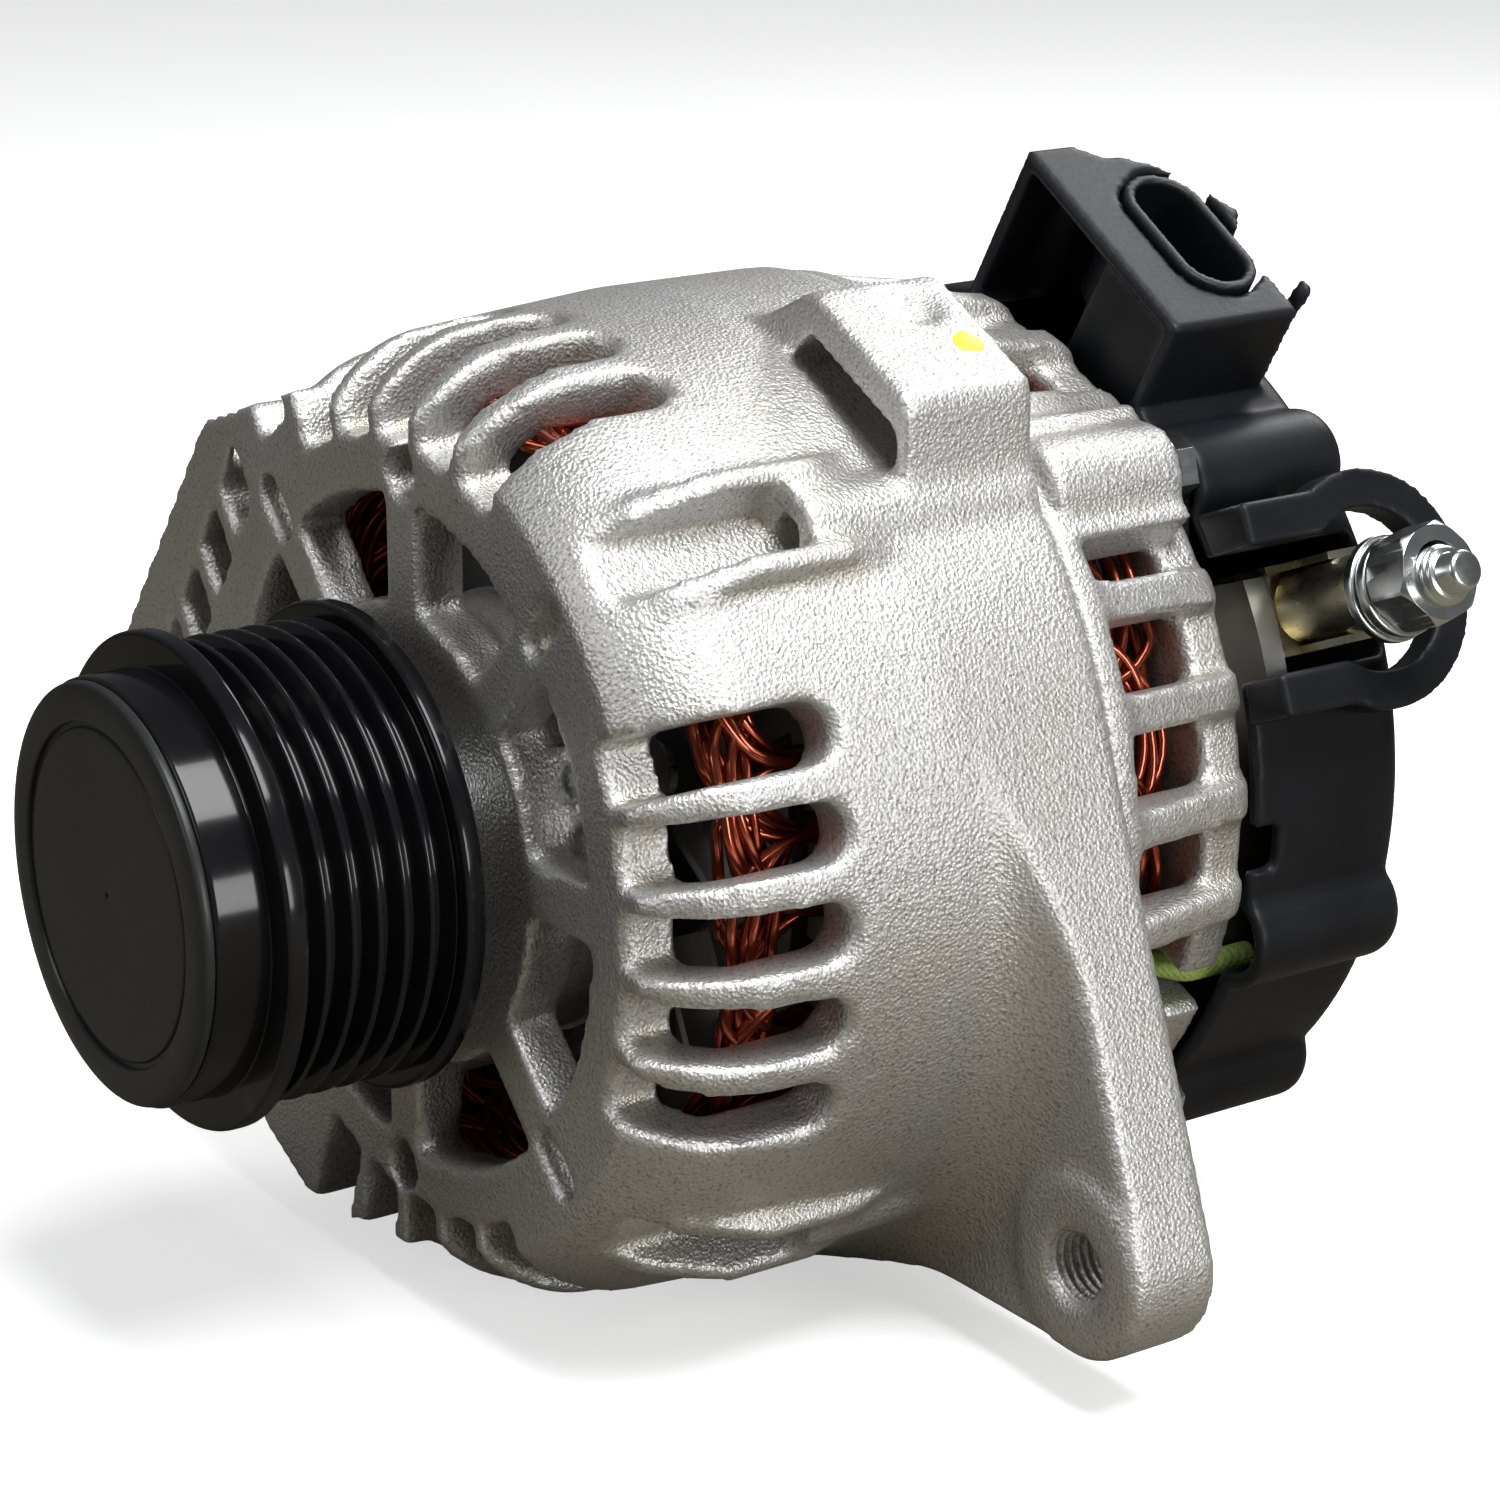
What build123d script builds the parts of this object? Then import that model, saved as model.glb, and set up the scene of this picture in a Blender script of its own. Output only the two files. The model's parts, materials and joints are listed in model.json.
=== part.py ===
from build123d import *
import math
import os

# A car alternator with an overrunning belt pulley.
# The shaft lies along Y: the pulley is towards -Y, the rear cover towards +Y, and +Z is up.
# The origin is on the shaft's axis, in the middle plane of the belt grooves.
# Lengths are in millimetres. Azimuths are in degrees from +X towards +Z.

# Clearances
FIT = 0.05             # seat of a fixed piece, on the radius
RUN = 0.06             # running fit, on the radius
ROLL = 0.15            # ball or roller to its track
AIR = 0.5              # between rotor and stator
PLAY = 0.3             # between loose neighbours
THROUGH = 1.0          # how far a cut runs past its piece
MERGE = 1.0            # how far a joined body reaches into its neighbour

# Belt pulley
GROOVES = 6
GROOVE_PITCH = 3.56
CREST_R = 29.3
GROOVE_DEPTH = 2.7
CREST_FLAT = 0.7
ROOT_FLAT = 0.9
FLANGE_R = 31.2
FLANGE_T = 2.7
NOSE_R = 26.75
NOSE_L = 7.1
RING_BORE_R = 19.0
RING_WALL = 4.6
RING_RECESS_T = 3.0
FLANGE_ROUND = 0.6
NOSE_ROUND = 0.7
CAP_T = 1.6
CAP_RIM = 2.0
CAP_DISC_R = 21.5
CAP_RECESS = 0.4
CAP_PLUG_L = 5.0
CAP_STEP = 0.4         # cap's rim inside the nose's
CAP_ROUND = 1.1
CAP_LINE_W = 0.8
CLUTCH_SLEEVE_T = 1.9
CLUTCH_L = 14.0
ROLLERS = 14
ROLLER_R = 1.6
ROLLER_INSET = 2.0     # rollers from each end of the sleeve
CLUTCH_CAGE_T = 1.8
CLUTCH_END_GAP = 0.5
PULLEY_BUSH_L = 4.0
HUB_R = 13.5
HUB_L = 29.0
HUB_PROUD = 1.0        # hub past the ring's rear face
HUB_CHAMFER = 0.6

# Shaft
SHAFT_R = 8.5
THREAD_R = 8.0
POLE_SEAT_R = 10.0
TAIL_R = 6.0
SHAFT_NOSE_Y = -15.0
SHAFT_TAIL_Y = 131.0
KEY_AF = 8.0
KEY_DEPTH = 7.0
COLLAR_R = 12.6
COLLAR_GAP = 2.4
SHAFT_CHAMFER = 0.8

# Bearings: bore radius, outer radius, width, ball radius, number of balls
FRONT_BRG = (SHAFT_R, 23.5, 14.0, 3.9, 8)
REAR_BRG = (7.5, 17.5, 11.0, 2.9, 8)
RACE_SHARE = 0.28      # one race's depth as a share of the bearing's section
SHIELD_T = 0.8
SHIELD_INSET = 0.6
CAGE_T = 2.2
CAGE_MARGIN = 0.7      # cage past the balls on each side

RETAINER_T = 2.0
RETAINER_R = 29.0
RETAINER_AZ = (24.0, 144.0, 264.0)
RETAINER_LAP = 3.5     # over the outer race
RETAINER_BOSS_R = 5.0
RETAINER_BOSS_SET = 1.5
RETAINER_SCREW_R = 2.0
RETAINER_SCREW_L = 9.0
RETAINER_HEAD_R = 3.8
RETAINER_HEAD_T = 2.0

# Stations along the shaft
FACE_Y = 20.0          # front face of the drive end bracket
LIP_T = 2.5            # lip in front of the front bearing
CORE_Y = 50.0          # front of the stator core
CORE_L = 31.0
SPLIT_Y = 83.5         # where the two brackets meet
TAIL_FACE_Y = 109.5    # rear face of the slip ring end bracket
COVER_GAP = 1.0
COVER_END_Y = 136.0

# Drive end bracket
BODY_R = 65.0
FACE_SET = 10.0        # front face's edge inside the body's radius
SHOULDER_Y = 14.0      # length of the rounded shoulder
SHOULDER_SET = 2.0
SHOULDER_LEAN = 0.12   # slope of the shoulder where it starts
BARREL_Y = 60.0        # the body is round and straight from here
WALL = 8.0
FRONT_WALL = 9.0
FACE_T = 7.0
HOLLOW_CORNER = 4.0
RING_IN_R = 43.5
SEAT_WALL = 5.0
SPOKE_W = 7.5
SPOKE_FOOT = 1.5       # windows start this far outside the bearing seat's wall
SPOKE_AZ = (89.0, 46.0, 2.0, -44.0, -94.0, -138.0, 168.0, 132.0)
SLOT_PITCH = 11.0
SLOT_COUNT = 5
SLOT_W = 7.6
SLOT_BREAK = 1.2       # how far a slot's floor cuts into the hollow
SLOT_L = 24.0
SLOT_START_Y = 20.5
SLOT_LEAD = 3.0        # slot cut's start before its place
SLOT_RAMP = 4.0        # depth and length of the ramp to a slot's floor
SLOT_DEEP = 3.0        # start of the full depth behind the face
GROUP_AZ = (1.0, 91.0, -89.0)
BOLT_COUNT = 4
BOLT_AZ = 46.0
BOLT_R = 2.5
BOLT_CLEAR = 1.0       # between a bolt and the stator's seat
BOLT_TIP_Y = 53.0
BOLT_BOSS_R = 6.2
BOLT_HEAD_AF = 8.0
BOLT_HEAD_T = 4.5
BOLT_FLANGE_R = 5.0
BOLT_FLANGE_T = 1.2
BOLT_TIP_CHAMFER = 0.8
BOLT_SEAT_DEPTH = 4.0
BOLT_BOSS_L = 4.0      # boss ahead of the bolt's tip
BOLT_HOLE_L = 8.0      # hole ahead of the core
BLIND_AZ = (113.5, 124.5, -111.5)
BLIND_DEPTH = 4.5
BLIND_SHORT = 6.0
SPOKE_POCKET_AZ = (46.0, -44.0, -138.0, 132.0)
SPOKE_POCKET_L = 9.5
SPOKE_POCKET_W = 4.0
SPOKE_POCKET_T = 3.0
CHANNEL_W = 9.0
CHANNEL_DROP = 2.3     # channel's floor inside the bolt circle
CHANNEL_LEAD = 13.0    # channel's start before the end of the shoulder: open at the front
RIDGE_W = 3.0
RIDGE_RISE = 1.4
RIDGE_TAIL = 9.0       # ridge past the bolt's tip
RIDGE_ROOT = 6.0
RIDGE_BEND = (5.0, 6.0)    # where the ridge's slope starts and ends, round the shoulder
RIDGE_LOW = 0.6
FACE_HOLE_R = 3.3
FACE_HOLE_PCR = 47.0
FACE_HOLE_AZ = (89.0, -94.0)
FACE_HOLE_DEEP = 6.0

# Mounting ears and the top lug
EAR_X = 73.4
EAR_Z = -45.7
EAR_TIP_R = 12.0
EAR_T = 12.0
EAR_BOSS_T = 1.0
EAR_FILLET = 10.0
EAR_TURN_AZ = 62.0     # end of the tip's round on the lower side
EAR_KNEE = (6.5, 22.0)     # bend of the lower side: height over the body, azimuth from the ear
EAR_HEEL_AZ = 42.0
EAR_BOSS_STEP = 0.4
EAR_SINK_LAP = 0.2
EAR_SINK_T = 1.4
EAR_HOLE_R = 4.25      # tapping radius of an M10 thread
EAR_SINK_R = 5.6
PIVOT_X = -84.0
PIVOT_Z = -17.7
PIVOT_TIP_R = 12.0
PIVOT_BORE_R = 5.1
PIVOT_L = 26.0
PIVOT_CORNER_PCR = 61.0
PIVOT_CORNER_AZ = 50.3     # corner and foot azimuths on each side of the line to the eye
PIVOT_CORNER_R = 7.0
PIVOT_FOOT_PCR = 53.5
PIVOT_FOOT_AZ = 76.8
PIVOT_FOOT_R = 5.0
PIVOT_WEB_T = 9.0
PIVOT_RIM_W = 4.5
PIVOT_RIM_L = 20.0
LOZENGE_X = -50.0      # centre of the highest lozenge opening
LOZENGE_Z = 26.0
LOZENGE_W = 8.4
LOZENGE_H = 13.0
LOZENGE_RIB = 2.2
LOZENGE_STEP = 0.61    # step of the staggered grid as a share of one lozenge and rib
LOZENGE_GRID = range(-3, 9)
LOZENGE_EDGE = 0.4
LUG_AZ = 63.0
LUG_TOP = 73.4
LUG_SIDE_X = 46.0
LUG_LEFT_T = 8.0
LUG_FOOT_AZ = 79.0
LUG_L = 19.5
LUG_WALL = 2.5
LUG_SLOT_TOP = 5.2     # wall over the pocket
LUG_SLOT_H = 5.4
LUG_SLOT_DEPTH = 13.0
LUG_DISH_R = 4.4
LUG_DISH_T = 1.2
LUG_DISH_SET = (7.5, 4.6)  # dish's centre from the split and from the left side
LUG_DISH_OPEN = 10.5
LUG_FOOT_DROP = (1.0, 12.0)
LUG_FOOT_X = 30.0
LUG_ROUND = 1.6
LUG_POCKET_LEAN = 2.5

# Slip ring end bracket
TAIL_SIDE_SET = 4.5    # fin's outer edge inside the body's radius
TAIL_RING_SET = 7.0
TAIL_RIM = 6.5
FIN_COUNT = 27
FIN_AZ = 4.0
FIN_W = 5.0
FIN_ROOT_SET = 9.0
FIN_ROUND = 0.7
FIN_TIP = (1.5, 2.5)   # slope at the fin's end: depth, length
FIN_FOOT_STEP = 0.4
FIN_BOLT_AZ = 8.0      # no fin closer than this to a bolt
FIN_LEAD_AZ = 6.5      # or to a lead
TAIL_FLANGE_SET = 0.8
TAIL_FLANGE_L = 4.0
TAIL_BLOCK_W = 18.0
TAIL_BLOCK_RISE = 3.5
TAIL_BOSS_EXTRA = 0.6
TAIL_BLOCK_STEP = 1.8
TAIL_LIP = 1.5
SCREW_BOSS_R = 4.0
STUD_BOSS_R = 5.0
LEAD_NOTCH_STEP = 2.0
LEAD_NOTCH_DEPTH = 6.0
TAIL_WALL_T = 5.0
TAIL_VENT_IN = 26.0
TAIL_VENT_OUT = 46.0
TAIL_VENTS = 14
TAIL_SPOKE_W = 4.5
TAIL_LIP_T = 2.0
TAIL_SEAT_WALL = 4.0
SPIGOT_T = 1.8

# Stator and rotor
SLOTS = 36
STATOR_BORE_R = 46.0
SLOT_BOTTOM_R = 53.2
STATOR_SLOT_W = 3.6
WIRE_GAP = 0.25
CROWN_IN_R = 47.4
CROWN_OUT_R = 54.6
CROWN_FRONT_L = 17.0
CROWN_REAR_L = 21.0
CROWN_ROUND = 3.2
BAR_IN = 0.3           # bar's inner side inside the crown's
CLAWS = 6
CLAW_BASE_DEG = 27.0
CLAW_TIP_DEG = 11.0
CLAW_T = 8.5
POLE_DISC_T = 10.0
POLE_CORE_R = 20.0
POLE_L = 35.0
CLAW_SHORT = 3.0       # claw's tip from the other pole's face
DISC_STEP = 2.0
BOBBIN_T = 1.2
BOBBIN_RISE = 1.0
COIL_R = 34.0
FAN_T = 1.4
FAN_BLADES = 11
FRONT_FAN_GAP = 1.1    # blades to the retainer's screw heads
REAR_FAN_H = 8.0
FAN_R = 43.5
FAN_DISC_SET = 13.0
PADDLE = (17.0, 1.3, 8.5)  # blade: length, thickness, its middle inside the rim
TAB = (14.0, 7.0, 12.0, 2.5)   # blade's foot: length, width, place inside the rim, place aside
PADDLE_LEAN = 32.0
RING_R = 8.0
RING_T = 1.4
RING_W = 6.5
RING_GAP = 2.5
RING_Y = 112.0
RING_SLEEVE_END = 1.5
RING_SLEEVE_STEP = 0.5

# Rectifier and regulator, behind the slip ring end bracket
SINK_T = 3.5
SINK_IN_R = 22.0
SINK_OUT_R = 52.0
SINK_START_AZ = -168.0
SINK_END_AZ = 32.0
SINK_STEP = 10.5       # from the negative plate's face to the positive plate's
INSULATOR_W = 5.0
DIODES = 6
DIODE_R = 6.3
DIODE_L = 7.0
DIODE_PCR = 34.0
DIODE_STEP_AZ = 30.0
DIODE_AZ = -157.0
DIODE_PIN_R = 0.8
DIODE_PIN_L = 2.5
RECTIFIER_SCREW_AZ = (-158.0, -96.0, -8.0)
RECTIFIER_SCREW_PCR = 49.4
RECTIFIER_SCREW_R = 2.0
RECTIFIER_HEAD_R = 3.6
RECTIFIER_HEAD_T = 2.4
COVER_STUD_AZ = (114.0, -172.0, -66.0)
COVER_STUD_PCR = 47.0
COVER_STUD_R = 2.5
COVER_NUT_AF = 8.0
COVER_NUT_T = 4.5
COVER_NUT_FLANGE = (5.28, 1.2)     # radius and thickness
COVER_STUD_SHORT = 1.0
COVER_STUD_HOLE = 2.0  # heat sinks' clearance round a cover stud
COVER_WELL_R = 6.5
COVER_WELL_DEPTH = 6.0
LEAD_AZ = (-24.0, -84.0, -150.0)
LEAD_R = 1.7
LEAD_END_Y = 118.5
LEAD_RISE = (1.5, 6.0) # start and end of the lead's step outwards, past the crown
LEAD_BEND_R = 4.0
LEAD_NOTCH_W = 6.4
REGULATOR_X = 27.0     # outer side of the regulator block, which starts at the brush holder
REGULATOR_Z0 = 18.5
REGULATOR_Z1 = 40.0
REGULATOR_L = 14.0
REGULATOR_RIM = 3.0
REGULATOR_DISH = 2.5
REGULATOR_FINS = 5
REGULATOR_FIN_T = 1.4
REGULATOR_FIN_H = 7.0

# Brushes
BRUSH_W = 4.6
BRUSH_D = 6.4
BRUSH_L = 15.0
BRUSH_TRAVEL = 7.0
BRUSH_SIDE = 0.3
HOLDER_WALL = 1.8
HOLDER_FOOT = 2.5      # holder's underside over the rings
BRUSH_DEPTH = 0.8      # brush's sides past the rings' surface
SPRING_R = 1.9
SPRING_WIRE_R = 0.25
SPRING_TURNS = 6
SPRING_SPARE = 1.5

# Rear cover, connector and output terminal
COVER_R = 59.3
COVER_T = 2.0
COVER_EDGE = 3.0
CUT_DEPTH = 8.0        # reach of the wall's openings on each side of its face
BULGE_R = 7.0
BULGE_PCR = 56.6
BULGE_AZ = (46.0, -17.0, -48.0, 136.0, -134.0)
CLIP_NOTCH_AZ = -3.5
CLIP_NOTCH_W = 6.0
CLIP_NOTCH_L = 4.0
COVER_VENTS = 15
COVER_VENT_AZ = -160.0
COVER_VENT_STEP = 14.0
COVER_VENT_IN = 18.0
COVER_VENT_OUT = 37.0
COVER_VENT_W = 3.2
CONN_AZ = 59.0
HOOD_TOP = 73.0
HOOD_LOW_T = -3.0
HOOD_HIGH_T = 33.0
HOOD_FOOT = 50.0
HOOD_L = 21.0
HOOD_LEFT_L = 8.0      # length of the roof's left part
HOOD_MOUTH_T = 14.0    # the mouth is open above this and walled below it
HOOD_WALL_SET = 1.6
GUARD_WALL_BACK = 4.3  # how far the curved wall behind the socket stands past the roof
SOCKET_MOAT = 2.2
MOAT_LEAN = 0.6
HOOD_STEPS = ((3.0, 2.5), (6.0, 3.0), (11.0, 6.0))     # the roof's left corner: along, down
HOOD_CURL = (3.5, 2.0) # ends of the curved wall past and before the socket's middle
HOOD_WALL_END = 0.5
HOOD_WALL_ROOT = 6.0
PRONG_W = 2.2
PRONG_T = 1.6
PRONG_ROOT = 58.0
PRONG_TIP = 74.0
PRONG_LEAN = 12.0
PRONG_PLACE = 4.0
SOCKET_T = 13.5
SOCKET_Y = 124.5
SOCKET_L = 23.0
SOCKET_W = 12.0
SOCKET_WALL = 1.5
SOCKET_DEPTH = 15.0
SOCKET_PROUD = 0.8
SOCKET_FLOOR_T = 2.0
PINS = 4
PIN_PITCH = 4.2
PIN_R = 0.8
PIN_SHORT = 6.5        # the pins end this far below the socket's rim
PIN_ROOT = 1.5         # and start this far below its floor
CONN_STEM_D = 38.0
CONN_STEM_STEP = 2.0
TERM_AZ = 22.4
TERM_T = 3.8
TERM_Y = 128.6
STUD_R = 4.0
STUD_TIP = 83.5
STUD_ROOT = 47.0
STUD_DOG_R = 2.6
STUD_DOG_L = 3.2
STUD_CHAMFER = 0.7
SPACER_R = 5.0
SPACER_END = 68.0
WASHER_R = 7.0
WASHER_T = 1.5
SPRING_WASHER_R = 6.6
SPRING_WASHER_T = 2.1
NUT_AF = 12.0
NUT_T = 7.0
NUT_TURN = 14.0
NUT_CROWN = 0.565      # radius of the nut's round end as a share of its flats
BRACKET_T = 5.0
BRACKET_W = 12.0
BRACKET_REACH = 5.0    # past the stud's axis, towards the rear
BRACKET_FOOT = 10.0
BRACKET_FOOT_T = 2.0
FINGER_T = 1.0
FINGER_END = 61.0
FINGER_ROOT = 2.0
FINGER_Y = (-2.0, 3.0)
GUARD_R = 15.6
GUARD_IN_R = 10.6
GUARD_T = 4.5
GUARD_TOP = 66.5
GUARD_ARM_W = 5.6
GUARD_ARM_Y = 109.8
GUARD_ARM_SET = 1.8    # arms inside the ring's radius
GUARD_ARM_ROOT = 50.0
GUARD_ARM_LAP = 4.0

# Worked out from the values above
FRONT_R = BODY_R - FACE_SET
SHOULDER_R = BODY_R - SHOULDER_SET
RIDGE_R = BODY_R + RIDGE_RISE
BLIND_FLOOR_R = BODY_R - BLIND_DEPTH
TAIL_SIDE_R = BODY_R - TAIL_SIDE_SET
TAIL_RING_R = BODY_R - TAIL_RING_SET
FIN_ROOT_R = BODY_R - FIN_ROOT_SET
TAIL_FLANGE_R = BODY_R - TAIL_FLANGE_SET
GROOVE_SPAN = GROOVES * GROOVE_PITCH
RING_REAR_Y = GROOVE_SPAN / 2 + FLANGE_T
NOSE_Y = -RING_REAR_Y - NOSE_L
CAVITY_R = BODY_R - WALL
BOLT_PCR = CAVITY_R + BOLT_R + BOLT_CLEAR
CHANNEL_FLOOR_R = BOLT_PCR - CHANNEL_DROP
HOLLOW_R = BODY_R - FRONT_WALL
FRONT_BRG_Y = FACE_Y + LIP_T
RETAINER_Y = FRONT_BRG_Y + FRONT_BRG[2]
RETAINER_PCR = RETAINER_R + RETAINER_BOSS_SET
RETAINER_TOP_Y = RETAINER_Y + RETAINER_T
REAR_BRG_Y = TAIL_FACE_Y - TAIL_LIP_T - REAR_BRG[2]
CORE_END_Y = CORE_Y + CORE_L
POLE_Y = CORE_Y + CORE_L / 2 - POLE_L / 2
FRONT_FAN_H = POLE_Y - FAN_T - RETAINER_TOP_Y - RETAINER_HEAD_T - FRONT_FAN_GAP
POLE_END_Y = POLE_Y + POLE_L
ROTOR_R = STATOR_BORE_R - AIR
COVER_Y = TAIL_FACE_Y + COVER_GAP
COVER_IN_Y = COVER_END_Y - COVER_T
HUB_REAR_Y = RING_REAR_Y + HUB_PROUD
BOLT_AZIMUTHS = [BOLT_AZ + 360 / BOLT_COUNT * i for i in range(BOLT_COUNT)]
BOLT_SEAT_Y = TAIL_FACE_Y - BOLT_SEAT_DEPTH
NEGATIVE_Y = TAIL_FACE_Y
POSITIVE_Y = TAIL_FACE_Y + SINK_STEP
RING_SPANS = ((RING_Y, RING_Y + RING_W), (RING_Y + RING_W + RING_GAP, RING_Y + 2 * RING_W + RING_GAP))
BRUSH_YS = [(y0 + y1) / 2 for y0, y1 in RING_SPANS]
BRUSH_TOP = RING_R + PLAY + BRUSH_L
HOLDER_ROOF = BRUSH_TOP + BRUSH_TRAVEL + SPRING_TURNS * 2 * SPRING_WIRE_R + SPRING_SPARE
HOLDER_SIDE_X = BRUSH_D / 2 + BRUSH_SIDE + HOLDER_WALL
PIN_TOP = HOOD_TOP + SOCKET_PROUD - PIN_SHORT
PIVOT_AZ = math.degrees(math.atan2(PIVOT_Z, PIVOT_X))
EAR_FRONT_Y = SPLIT_Y - EAR_T - EAR_BOSS_T


def at(azimuth):
    """Turn about the shaft so that local X points outwards at the azimuth."""
    return Rot(0, -azimuth, 0)


def rod(r, y0, y1, x=0.0, z=0.0):
    """A round bar along Y."""
    return Pos(x, (y0 + y1) / 2, z) * (Rot(90, 0, 0) * Cylinder(r, y1 - y0))


def sleeve(r_out, r_in, y0, y1):
    """A tube round the shaft."""
    return rod(r_out, y0, y1) - rod(r_in, y0 - THROUGH, y1 + THROUGH)


def brick(x0, x1, y0, y1, z0, z1):
    """A block between two corners."""
    middle = Pos((x0 + x1) / 2, (y0 + y1) / 2, (z0 + z1) / 2)
    return middle * Box(x1 - x0, y1 - y0, z1 - z0)


def turned(points):
    """A solid of revolution about Y from (radius, y) points."""
    return revolve(make_face(Polyline(*points, close=True)), Axis.Y)


def prism(outline, y0, y1):
    """An XZ outline carried along Y from y0 to y1."""
    base = Plane(origin=(0, y1, 0), x_dir=(1, 0, 0), z_dir=(0, -1, 0))
    return extrude(base * outline, amount=y1 - y0)


def polygon(*points):
    return make_face(Polyline(*points, close=True))


def polar(r, azimuth):
    a = math.radians(azimuth)
    return (r * math.cos(a), r * math.sin(a))


def hexagon(across_flats, y0, y1):
    return prism(RegularPolygon(across_flats / 2, 6, major_radius=False), y0, y1)


# ---------------------------------------------------------------- pulley

def pulley_ring():
    edge = GROOVE_SPAN / 2
    root_r = CREST_R - GROOVE_DEPTH
    points = [(RING_BORE_R, NOSE_Y), (NOSE_R, NOSE_Y), (NOSE_R, -RING_REAR_Y)]
    points += [(FLANGE_R, -RING_REAR_Y), (FLANGE_R, -edge)]
    for i in range(GROOVES):
        middle = -edge + GROOVE_PITCH * (i + 0.5)
        half = GROOVE_PITCH / 2 - CREST_FLAT / 2
        points += [(CREST_R, middle - half), (root_r, middle - ROOT_FLAT / 2)]
        points += [(root_r, middle + ROOT_FLAT / 2), (CREST_R, middle + half)]
    points += [(FLANGE_R, edge), (FLANGE_R, RING_REAR_Y), (RING_BORE_R, RING_REAR_Y)]
    ring = turned(points)
    counterbore = rod(NOSE_R - CAP_RIM + FIT, NOSE_Y - THROUGH, NOSE_Y + CAP_PLUG_L)
    rear_recess = sleeve(FLANGE_R - RING_WALL, RING_BORE_R + RING_WALL, RING_REAR_Y - RING_RECESS_T,
                         RING_REAR_Y + THROUGH)
    ring = ring - counterbore - rear_recess
    rims = [e for e in ring.edges().filter_by(GeomType.CIRCLE) if abs(e.radius - FLANGE_R) < 0.01]
    ring = fillet(rims, FLANGE_ROUND)
    nose = [e for e in ring.edges().filter_by(GeomType.CIRCLE)
            if abs(e.radius - NOSE_R) < 0.01 and e.center().Y < NOSE_Y + 1]
    return fillet(nose, NOSE_ROUND)


def pulley_cap():
    face_y = NOSE_Y - CAP_T
    disc = rod(NOSE_R - CAP_STEP, face_y, NOSE_Y)
    disc = fillet(disc.edges().sort_by(Axis.Y)[0], CAP_ROUND)
    plug = sleeve(NOSE_R - CAP_RIM, NOSE_R - 2 * CAP_RIM, NOSE_Y, NOSE_Y + CAP_PLUG_L - PLAY)
    recess = rod(CAP_DISC_R, face_y - THROUGH, face_y + CAP_RECESS)
    groove = sleeve(CAP_DISC_R, CAP_DISC_R - CAP_LINE_W, face_y - THROUGH, face_y + 2 * CAP_RECESS)
    return disc + plug - recess - groove


def clutch_outer():
    return sleeve(RING_BORE_R - FIT, RING_BORE_R - CLUTCH_SLEEVE_T, -CLUTCH_L / 2, CLUTCH_L / 2)


def clutch_rollers():
    ring_r = HUB_R + ROLL + ROLLER_R
    length = CLUTCH_L - 2 * ROLLER_INSET
    return [at(360 / ROLLERS * i) * rod(ROLLER_R, -length / 2, length / 2,
                                        x=ring_r) for i in range(ROLLERS)]


def clutch_cage():
    ring_r = HUB_R + ROLL + ROLLER_R
    cage = sleeve(ring_r + CLUTCH_CAGE_T / 2, ring_r - CLUTCH_CAGE_T / 2, -CLUTCH_L / 2 + CLUTCH_END_GAP,
                  CLUTCH_L / 2 - CLUTCH_END_GAP)
    length = CLUTCH_L - 2 * ROLLER_INSET + 2 * ROLL
    for i in range(ROLLERS):
        cage = cage - at(360 / ROLLERS * i) * rod(ROLLER_R + ROLL, -length / 2, length / 2, x=ring_r)
    return cage


def pulley_bushes():
    outer = RING_BORE_R - FIT
    start = CLUTCH_L / 2 + CLUTCH_END_GAP
    rear = sleeve(outer, HUB_R + RUN, start, start + PULLEY_BUSH_L)
    front = sleeve(outer, HUB_R + RUN, -start - PULLEY_BUSH_L, -start)
    return [front, rear]


def pulley_hub():
    hub = sleeve(HUB_R, THREAD_R + FIT, HUB_REAR_Y - HUB_L, HUB_REAR_Y)
    return chamfer(hub.edges().filter_by(GeomType.CIRCLE).filter_by(lambda e: e.radius > HUB_R - FIT),
                   HUB_CHAMFER)


def spacer_collar():
    return sleeve(COLLAR_R, SHAFT_R + FIT, HUB_REAR_Y, FRONT_BRG_Y)


# ---------------------------------------------------------------- shaft and bearings

def rotor_shaft():
    rear_seat = REAR_BRG_Y + REAR_BRG[2]
    shaft = rod(THREAD_R, SHAFT_NOSE_Y, HUB_REAR_Y)
    shaft = shaft + rod(SHAFT_R, HUB_REAR_Y, RETAINER_Y)
    shaft = shaft + rod(POLE_SEAT_R, RETAINER_Y, REAR_BRG_Y)
    shaft = shaft + rod(REAR_BRG[0], REAR_BRG_Y, rear_seat)
    shaft = shaft + rod(TAIL_R, rear_seat, SHAFT_TAIL_Y)
    shaft = chamfer([shaft.edges().sort_by(Axis.Y)[0], shaft.edges().sort_by(Axis.Y)[-1]], SHAFT_CHAMFER)
    return shaft - hexagon(KEY_AF, SHAFT_NOSE_Y - THROUGH, SHAFT_NOSE_Y + KEY_DEPTH)


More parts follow.
